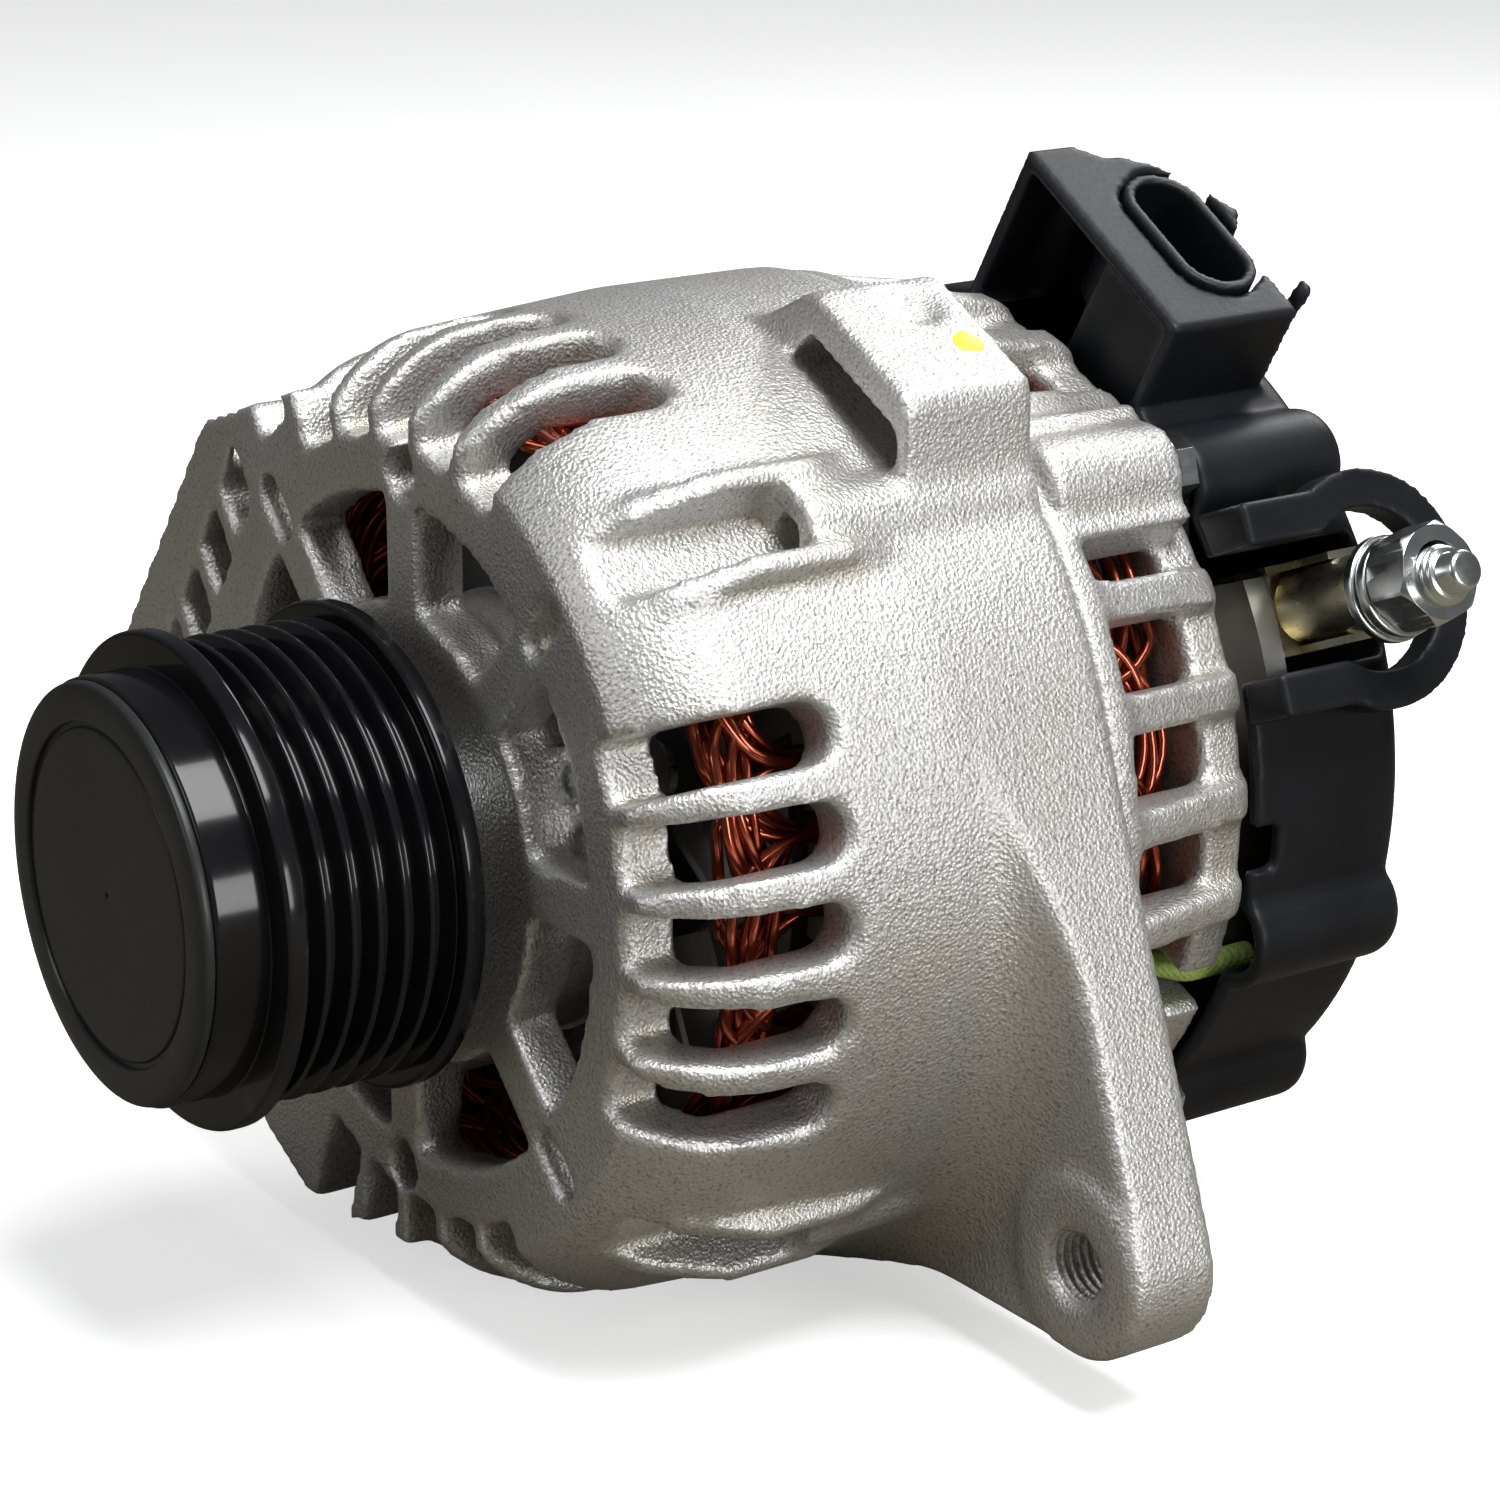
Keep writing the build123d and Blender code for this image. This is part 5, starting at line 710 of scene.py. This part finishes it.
class ALTERNATOR_OT_castings(bpy.types.Operator):
    """Both aluminium brackets with cast edges, the thread in the ear, and the dab of paint on the lug."""
    bl_idname = "alternator.castings"
    bl_label = "Castings"

    def execute(self, context):
        s = context.scene.alternator_castings
        front = softened_copy("front_casting", "drive_end_bracket", s.grid, s.rounding,
                              ear_hole_opener)
        rear = softened_copy("rear_casting", "slip_ring_end_bracket", s.grid * 0.9,
                             s.rounding)
        thread = self.ear_thread(s.thread_pitch)
        for piece in (front, rear, thread):
            dress(piece, "cast_aluminium")
        dress(self.paint_dab(), "paint_yellow")
        return {"FINISHED"}

    def ear_thread(self, pitch):
        """A sleeve whose inner wall is a helix: radius = mean + height cos(turn - 2 pi y / pitch)."""
        high = np.array(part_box("drive_end_bracket")[1]) / MM
        mean, wave, outside = EAR_THREAD
        rings, sides = 110, 64
        y = np.linspace(high[1] - EAR_THREAD_ENDS[0], high[1] - EAR_THREAD_ENDS[1], rings)[None, :]
        a = np.linspace(0, 2 * np.pi, sides, endpoint=False)[:, None]
        inner = mean + wave * np.cos(a - 2 * np.pi * y / pitch)
        outer = np.full_like(inner, outside)
        r = np.concatenate([inner, outer[:, ::-1]], axis=1)
        yy = np.concatenate([y, y[:, ::-1]], axis=1) + 0 * a
        x0, z0 = high[0] - EAR_TIP_R, EAR_Z
        points = np.stack([x0 + r * np.cos(a), yy, z0 + r * np.sin(a)], axis=-1)
        quads = grid_quads(sides, r.shape[1], True, True)
        return new_piece("ear_thread", points.reshape(-1, 3), [quads], "housing")

    def paint_dab(self):
        """A low dome with a wavy edge: height = 1 - r squared, on the sloping top of the lug."""
        rings, sides = 10, 40
        r = np.linspace(0.02, 1, rings)[:, None]
        a = np.linspace(0, 2 * np.pi, sides, endpoint=False)[None, :]
        wavy = DAB_R * r * (1 + 0.06 * np.sin(3 * a + 1) + 0.04 * np.sin(5 * a))
        slope = math.radians(LUG_AZ)
        out = np.array([math.cos(slope), 0, math.sin(slope)])
        across = np.array([-math.sin(slope), 0, math.cos(slope)])
        centre = out * DAB_PLACE[0] + across * DAB_PLACE[1] + np.array([0, DAB_PLACE[2], 0])
        rise = DAB_RISE * np.sqrt(1 - 0.98 * r ** 2) + 0 * a
        points = (centre + out * rise[..., None] + across * (wavy * np.cos(a))[..., None]
                  + np.array([0, 1, 0]) * (wavy * np.sin(a))[..., None])
        quads = grid_quads(rings, sides, False, True)
        lids = np.stack([np.arange(sides), np.arange(sides) + (rings - 1) * sides])
        return new_piece("paint_dab", points.reshape(-1, 3), [quads, lids], "housing")


class ALTERNATOR_OT_windings(bpy.types.Operator):
    """The stator's coils as separate enamelled wires, front and rear."""
    bl_idname = "alternator.windings"
    bl_label = "Windings"

    def execute(self, context):
        s = context.scene.alternator_windings
        low, high = (np.array(v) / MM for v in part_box("stator_core"))
        crown_low, crown_high = (np.array(v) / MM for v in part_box("stator_winding"))
        middle = (low[1] + high[1]) / 2
        front = self.crown("front_windings", s, low[1], middle, crown_low[1] - low[1], SEED)
        rear = self.crown("rear_windings", s, high[1], middle, crown_high[1] - high[1], SEED + 1)
        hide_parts("stator_winding")
        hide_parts("stator_winding")
        for piece in (front, rear):
            dress(piece, "enamelled_copper")
        return {"FINISHED"}

    def crown(self, name, s, face_y, middle_y, height, seed):
        """Arches from slot to slot: a strand leaves its slot, turns by three slots while it rises as a power
        of a sine, and drops into the second slot. Random slow waves make the lay uneven."""
        random = np.random.default_rng(seed)
        arches = np.repeat(np.arange(SLOTS), s.strands)
        strand = np.tile(np.arange(s.strands), SLOTS)
        count = len(arches)
        u = np.linspace(0, 1, ARCH_STEPS)[None, :]
        share = strand[:, None] / max(1, s.strands - 1)
        layer = (arches % 2)[:, None]
        pitch = 2 * np.pi / SLOTS
        turn = u - ARCH_LAG * np.sin(2 * np.pi * u)
        slot_offset = np.where(u < 0.5, -LEG_SHIFT, LEG_SHIFT) * np.abs(np.cos(np.pi * u))
        r_slot = LEG_R[0] + LEG_R[1] * share
        r_top = np.where(layer == 0, *LAYER_R) - (1 - share) * np.where(layer == 0, *LAYER_DEPTH)
        bulge = np.sin(np.pi * u) ** ARCH_POWER
        r = r_slot + (r_top - r_slot) * bulge + smooth_walk(random, (count, ARCH_STEPS), 0.5 * s.wander)
        r = np.clip(r, CROWN_R[0] + s.wire_radius, CROWN_R[1] - s.wire_radius)
        reach = (abs(height) - s.wire_radius - 0.2) * (ARCH_LOW + (1 - ARCH_LOW) * share)
        rise = reach * bulge * (1 + smooth_walk(random, (count, ARCH_STEPS), 0.10 * s.wander))
        rise = np.clip(rise, 0, abs(height) - s.wire_radius - 0.1)
        angle = (arches[:, None] + SLOT_SPAN * turn) * pitch + slot_offset / CROWN_MIDDLE_R
        angle = angle + smooth_walk(random, (count, ARCH_STEPS), 0.9 * s.wander) / CROWN_MIDDLE_R
        y = face_y + np.sign(height) * rise
        ends = np.full((count, 1), middle_y)
        y = np.concatenate([ends, y, ends], axis=1)
        angle = np.concatenate([angle[:, :1], angle, angle[:, -1:]], axis=1)
        r = np.concatenate([r[:, :1], r, r[:, -1:]], axis=1)
        paths = np.stack([r * np.cos(angle), y, r * np.sin(angle)], axis=-1)
        points, faces = tubes(paths, s.wire_radius, WIRE_SIDES)
        return new_piece(name, points, faces, "housing")


class ALTERNATOR_OT_pulley(bpy.types.Operator):
    """The grooved ring and its cap as turned pieces with softly rounded edges."""
    bl_idname = "alternator.pulley"
    bl_label = "Pulley"

    def execute(self, context):
        s = context.scene.alternator_pulley
        ring = self.ring(s)
        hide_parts("pulley_ring")
        dress(ring, "pulley_black")
        cap = self.cap(s)
        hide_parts("pulley_cap")
        dress(cap, "cap_black")
        return {"FINISHED"}

    def ring(self, s):
        """The ring's section: V grooves between two flanges, a nose in front and a bore behind the cap."""
        low, high = (np.array(v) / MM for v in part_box("pulley_ring"))
        edge = GROOVES / 2 * GROOVE_PITCH
        k = np.arange(GROOVES)[:, None]
        valley = -edge + GROOVE_PITCH * (k + 0.5)
        flank = GROOVE_PITCH / 2 - CREST_HALF
        step = np.array([[-flank, -ROOT_HALF, ROOT_HALF, flank]])
        radii = np.tile([CREST_R, ROOT_R, ROOT_R, CREST_R], GROOVES)
        grooves = np.stack([radii, (valley + step).ravel()], axis=1)
        bore_y, inside, foot = low[1] + CAP_BORE_DEPTH, NOSE_R - NOSE_WALL, CREST_R - FLANGE_STEP
        outer, inner, depth = RECESS
        front = [(NOSE_R - CAP_BORE_STEP, bore_y), (inside, bore_y), (inside, low[1]), (NOSE_R, low[1]),
                 (NOSE_R, -edge - FLANGE_T), (FLANGE_R, -edge - FLANGE_T), (FLANGE_R, -edge), (foot, -edge)]
        back = [(foot, edge), (FLANGE_R, edge), (FLANGE_R, high[1]), (outer, high[1]),
                (outer, high[1] - depth), (inner, high[1] - depth), (inner, high[1]), (RING_BORE_R, high[1]),
                (RING_BORE_R, low[1] + RING_BORE_START)]
        corners = np.array(front + grooves.tolist() + back)
        radius = np.full(len(corners), s.edge)
        first = len(front) + len(grooves)
        radius[[3, 5, 6, first + 2, first + 1]] = FLANGE_EDGE
        profile = rounded(corners, radius, ARC_STEPS)
        points, quads = turned(profile, s.segments)
        return new_piece("pulley_grooves", points, [quads], "pulley")

    def cap(self, s):
        """The cap's section: a plug ring, a rounded rim, a fine groove and a slightly dished disc."""
        low, high = (np.array(v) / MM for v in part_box("pulley_cap"))
        face = low[1]
        disc = [(r, face + CAP_DISC_SET + CAP_DISH * (1 - r / CAP_DISC_R))
                for r in np.linspace(CAP_DISC_R, CENTRE_R, 12)]
        plug_in, plug_out = CAP_PLUG_R
        corners = [(CENTRE_R, face + CAP_BACK), (plug_in, face + CAP_BACK), (plug_in, high[1]),
                   (plug_out, high[1]), (plug_out, face + CAP_T), (26.35, face + CAP_T), (26.3, face + 0.3),
                   (24.6, face), (21.6, face), (21.5, face + 0.7), (20.8, face + 0.7), *disc]
        radius = [0.1, 0.2, 0.2, 0.2, 0.1, 0.4, 1.0, 1.0, 0.25, 0.1, 0.1] + [0.3] * len(disc)
        profile = rounded(corners, radius, ARC_STEPS)
        points, quads = turned(profile, s.segments)
        return new_piece("pulley_nose_cap", points, [quads], "pulley")


class ALTERNATOR_OT_terminal(bpy.types.Operator):
    """The output stud with its thread, the flat and split washers, and bevels on the nuts and bolts."""
    bl_idname = "alternator.terminal"
    bl_label = "Output terminal"

    def execute(self, context):
        s = context.scene.alternator_terminal
        stud = self.stud(s.pitch)
        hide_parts("output_stud")
        flat, spring = self.washers()
        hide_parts("output_washers")
        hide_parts("output_washers")
        for piece in (stud, flat, spring):
            dress(piece, "zinc_plated_steel")
        for name in ("output_nut", "through_bolts", "cover_nuts", "terminal_bracket", "output_spacer",
                     "retainer_screws", "rectifier_screws"):
            node = frame["nodes"][name]
            weld = node.modifiers.new("Join", "WELD")
            weld.merge_threshold = 1e-6
            bevel = node.modifiers.new("Break edges", "BEVEL")
            bevel.width = s.bevel
            bevel.segments = 2
            bevel.limit_method = "ANGLE"
            bevel.angle_limit = math.radians(BEVEL_ANGLE)
        return {"FINISHED"}

    def stud(self, pitch):
        """Radius = mean + wave cos(turn - 2 pi distance / pitch) along the thread, then a plain dog point."""
        near, far = stud_reach("output_stud")
        dog = far - DOG_L
        d = np.linspace(near, dog, STUD_RINGS)
        a = np.linspace(0, 2 * np.pi, STUD_SIDES, endpoint=False)[:, None]
        thread = STUD_THREAD[0] + STUD_THREAD[1] * np.cos(a - 2 * np.pi * d[None, :] / pitch)
        thread = np.minimum(thread, STUD_TAPER[0] + (dog - d)[None, :] * STUD_TAPER[1])
        tip_d = np.concatenate([dog + np.array(DOG_STEPS), far - np.array(DOG_ENDS)])
        r = np.concatenate([thread, np.tile(DOG_R, (STUD_SIDES, 1))], axis=1)
        dist = np.concatenate([d, tip_d])[None, :] + 0 * r
        y0, t0 = stud_axis()
        points = along_stud(np.stack([dist, y0 + r * np.cos(a), t0 + r * np.sin(a)], axis=-1))
        columns = r.shape[1]
        first = np.arange(STUD_SIDES) * columns
        lids = np.stack([first, first + columns - 1])
        return new_piece("stud_thread", points.reshape(-1, 3),
                         [grid_quads(STUD_SIDES, columns, True, False), lids], "housing")

    def washers(self):
        """A flat ring, and a split ring whose section climbs by a third of its thickness in one turn."""
        near, far = stud_reach("output_washers")
        bore, rim, thick = FLAT_WASHER
        mid = near + thick
        section = rounded([(bore, near), (rim, near), (rim, mid), (bore, mid)], 0.3)
        points, quads = round_the_stud(section, WASHER_SIDES)
        flat = new_piece("flat_washer", points, [quads], "housing")
        y0, t0 = stud_axis()
        a = np.linspace(SPLIT_HALF, 2 * np.pi - SPLIT_HALF, WASHER_SIDES)[:, None]
        bore, rim = SPLIT_WASHER
        low, high = mid + SPLIT_GAP[0], far - SPLIT_GAP[1]
        section = rounded([(bore, low), (rim, low), (rim, high), (bore, high)], 0.25)
        r, d = section[None, :, 0], section[None, :, 1] + SPLIT_RISE * a / (2 * np.pi)
        turn = a - SPLIT_AT
        points = along_stud(np.stack([d, y0 + r * np.cos(turn), t0 + r * np.sin(turn)], axis=-1))
        columns = len(section)
        lids = np.stack([np.arange(columns), np.arange(columns) + (WASHER_SIDES - 1) * columns])
        spring = new_piece("split_washer", points.reshape(-1, 3),
                           [grid_quads(WASHER_SIDES, columns, False, True), lids], "housing")
        return flat, spring


class ALTERNATOR_OT_mouldings(bpy.types.Operator):
    """The plastic cover, the terminal's shield and the plug shell, with moulded edges."""
    bl_idname = "alternator.mouldings"
    bl_label = "Mouldings"

    def execute(self, context):
        s = context.scene.alternator_mouldings
        for name, node, share in (("cover_shell", "rear_cover", 1.0),
                                  ("terminal_shield", "terminal_guard", 0.8),
                                  ("plug_shell", "connector_shell", 0.6)):
            piece = softened_copy(name, node, s.grid * share, s.rounding)
            dress(piece, "black_plastic")
        return {"FINISHED"}


class ALTERNATOR_OT_springs(bpy.types.Operator):
    """The two brush springs as coils."""
    bl_idname = "alternator.springs"
    bl_label = "Brush springs"

    def execute(self, context):
        for side in ("front", "rear"):
            node = f"{side}_brush_spring"
            low, high = (np.array(v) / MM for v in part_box(node))
            spring = self.coil(f"{side}_coil_spring", low, high)
            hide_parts(node)
            dress(spring, "pressed_steel")
            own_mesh(spring)
        return {"FINISHED"}

    def coil(self, name, low, high):
        """A helix about Z: six turns, with the wire's ring square to its path."""
        u = np.linspace(0, 1, SPRING_RINGS)
        a = 2 * np.pi * SPRING_TURNS * u
        r = (high[0] - low[0]) / 2 - SPRING_WIRE_R - SPRING_CLEAR
        centre_y = (low[1] + high[1]) / 2
        z = low[2] + SPRING_WIRE_R + (high[2] - low[2] - 2 * SPRING_WIRE_R) * u
        path = np.stack([r * np.cos(a), r * np.sin(a), z], axis=-1)
        out = np.stack([np.cos(a), np.sin(a), 0 * a], axis=-1)
        along = np.gradient(path, axis=0)
        along /= np.linalg.norm(along, axis=1, keepdims=True)
        up = np.cross(along, out)
        b = np.linspace(0, 2 * np.pi, WIRE_SIDES, endpoint=False)[None, :, None]
        points = path[:, None] + SPRING_WIRE_R * (out[:, None] * np.cos(b) + up[:, None] * np.sin(b))
        points = points.reshape(-1, 3) + np.array([0, centre_y, 0])
        lids = np.stack([np.arange(WIRE_SIDES), np.arange(WIRE_SIDES) + (SPRING_RINGS - 1) * WIRE_SIDES])
        quads = grid_quads(SPRING_RINGS, WIRE_SIDES, False, True)
        return new_piece(name, points, [quads, lids], "housing")


class ALTERNATOR_OT_stage(bpy.types.Operator):
    """Pale floor, soft studio lights and the camera."""
    bl_idname = "alternator.stage"
    bl_label = "Stage"

    def execute(self, context):
        s = context.scene.alternator_stage
        scene = context.scene
        low, high = CAD_BOX
        self.floor(s, low.z - FLOOR_GAP)
        self.camera(s)
        centre = (low + high) / 2
        for name, azimuth, elevation, distance, side, power in SOFTBOXES:
            self.softbox(name, centre, azimuth, elevation, distance, side, power)
        self.sky(scene, s)
        scene.view_settings.view_transform = "Standard"
        return {"FINISHED"}

    def floor(self, s, z):
        """A wide flat ring grid that thins out towards its rim."""
        rings, sides = 24, 64
        r = np.linspace(0.001, 1, rings)[:, None] ** 2 * FLOOR_R
        a = np.linspace(0, 2 * np.pi, sides, endpoint=False)[None, :]
        points = np.stack([r * np.cos(a), r * np.sin(a), 0 * r * a + z / MM], axis=-1).reshape(-1, 3)
        mesh = bpy.data.meshes.new("floor")
        mesh.from_pydata((points * MM).tolist(), [], grid_quads(rings, sides, False, True).tolist())
        floor = bpy.data.objects.new("floor", mesh)
        bpy.context.scene.collection.objects.link(floor)
        material = bpy.data.materials.new("floor_paper")
        material.use_nodes = True
        tree = material.node_tree
        shader = tree.nodes["Principled BSDF"]
        shader.inputs["Roughness"].default_value = 0.8
        place = add(tree, "ShaderNodeTexCoord")
        noise = add(tree, "ShaderNodeTexNoise", "Paper tone", Scale=40.0, Detail=4.0)
        tone = mix_colour(tree, "Paper", noise.outputs["Fac"], tuple(s.floor_tone), (0.95, 0.95, 0.95))
        wire(tree, (place.outputs["Object"], noise.inputs["Vector"]), (tone, shader.inputs["Base Color"]))
        glow = add(tree, "ShaderNodeEmission", "Bright paper", Strength=0.55)
        both = add(tree, "ShaderNodeAddShader", "Lit and bright")
        dim = add(tree, "ShaderNodeBsdfDiffuse", "What the pieces see", Color=(0.17, 0.152, 0.12, 1.0))
        path = add(tree, "ShaderNodeLightPath")
        choose = add(tree, "ShaderNodeMixShader")
        wire(tree, (shader.outputs[0], both.inputs[0]), (glow.outputs[0], both.inputs[1]),
             (path.outputs["Is Camera Ray"], choose.inputs[0]), (dim.outputs[0], choose.inputs[1]),
             (both.outputs[0], choose.inputs[2]),
             (choose.outputs[0], tree.nodes["Material Output"].inputs["Surface"]))
        floor.data.materials.append(material)

    def camera(self, s):
        """The camera that every view starts from."""
        data = bpy.data.cameras.new("camera")
        data.lens = s.lens
        data.sensor_width = 36.0
        data.clip_start = 0.01
        data.clip_end = 50.0
        camera = bpy.data.objects.new("camera", data)
        bpy.context.scene.collection.objects.link(camera)
        camera.location = CAMERA_PLACE
        camera.rotation_euler = (math.radians(90 - CAMERA_EL), 0, math.radians(CAMERA_AZ))
        bpy.context.scene.camera = camera

    def softbox(self, name, centre, azimuth, elevation, distance, side, power):
        """A square lamp that faces the centre from an azimuth and an elevation."""
        data = bpy.data.lights.new(name, "AREA")
        data.shape = "SQUARE"
        data.size = side
        data.energy = power
        lamp = bpy.data.objects.new(name, data)
        bpy.context.scene.collection.objects.link(lamp)
        a, e = math.radians(azimuth), math.radians(elevation)
        back = np.array([math.sin(a) * math.cos(e), -math.cos(a) * math.cos(e), math.sin(e)])
        lamp.location = np.array(centre) + back * distance
        lamp.rotation_euler = (math.pi / 2 - e, 0, a)

    def sky(self, scene, s):
        """White for the camera, dimmer for what the pieces reflect."""
        world = bpy.data.worlds.new("studio")
        scene.world = world
        world.use_nodes = True
        tree = world.node_tree
        light = tree.nodes["Background"]
        light.inputs["Color"].default_value = (0.95, 0.97, 1.0, 1.0)
        light.inputs["Strength"].default_value = 0.11
        backdrop = add(tree, "ShaderNodeBackground", "Backdrop", Strength=1.0)
        backdrop.inputs["Color"].default_value = (1.0, 1.0, 1.0, 1.0)
        path = add(tree, "ShaderNodeLightPath")
        mix = add(tree, "ShaderNodeMixShader")
        end = tree.nodes["World Output"]
        wire(tree, (path.outputs["Is Camera Ray"], mix.inputs[0]), (light.outputs[0], mix.inputs[1]),
             (backdrop.outputs[0], mix.inputs[2]), (mix.outputs[0], end.inputs["Surface"]))


class ALTERNATOR_PT_panel(bpy.types.Panel):
    """Lists the alternator's pieces and their settings."""
    bl_idname = "ALTERNATOR_PT_panel"
    bl_label = "Alternator"
    bl_space_type = "VIEW_3D"
    bl_region_type = "UI"
    bl_category = "Alternator"

    def draw(self, context):
        for operator in OPERATORS:
            self.layout.operator(operator.bl_idname)
        for group, names in SETTINGS.values():
            for name in names:
                self.layout.prop(getattr(context.scene, group), name)


OPERATORS = (ALTERNATOR_OT_finishes, ALTERNATOR_OT_castings, ALTERNATOR_OT_windings, ALTERNATOR_OT_pulley,
             ALTERNATOR_OT_terminal, ALTERNATOR_OT_mouldings, ALTERNATOR_OT_springs, ALTERNATOR_OT_stage)
SETTINGS = {
    CastingSettings: ("alternator_castings", ("grid", "rounding", "thread_pitch")),
    WindingSettings: ("alternator_windings", ("wire_radius", "strands", "wander")),
    PulleySettings: ("alternator_pulley", ("edge", "segments")),
    TerminalSettings: ("alternator_terminal", ("pitch", "bevel")),
    MouldingSettings: ("alternator_mouldings", ("grid", "rounding")),
    StageSettings: ("alternator_stage", ("lens", "floor_tone")),
}


def register():
    for cls in (*SETTINGS, *OPERATORS, ALTERNATOR_PT_panel):
        bpy.utils.register_class(cls)
    for cls, (name, _) in SETTINGS.items():
        setattr(bpy.types.Scene, name, bpy.props.PointerProperty(type=cls))


def unregister():
    for name, _ in SETTINGS.values():
        delattr(bpy.types.Scene, name)
    for cls in reversed((*SETTINGS, *OPERATORS, ALTERNATOR_PT_panel)):
        bpy.utils.unregister_class(cls)


def main():
    register()
    bpy.ops.alternator.finishes()
    bpy.ops.alternator.castings()
    bpy.ops.alternator.windings()
    bpy.ops.alternator.pulley()
    bpy.ops.alternator.terminal()
    bpy.ops.alternator.mouldings()
    bpy.ops.alternator.springs()
    bpy.ops.alternator.stage()


if __name__ == "__main__":
    main()
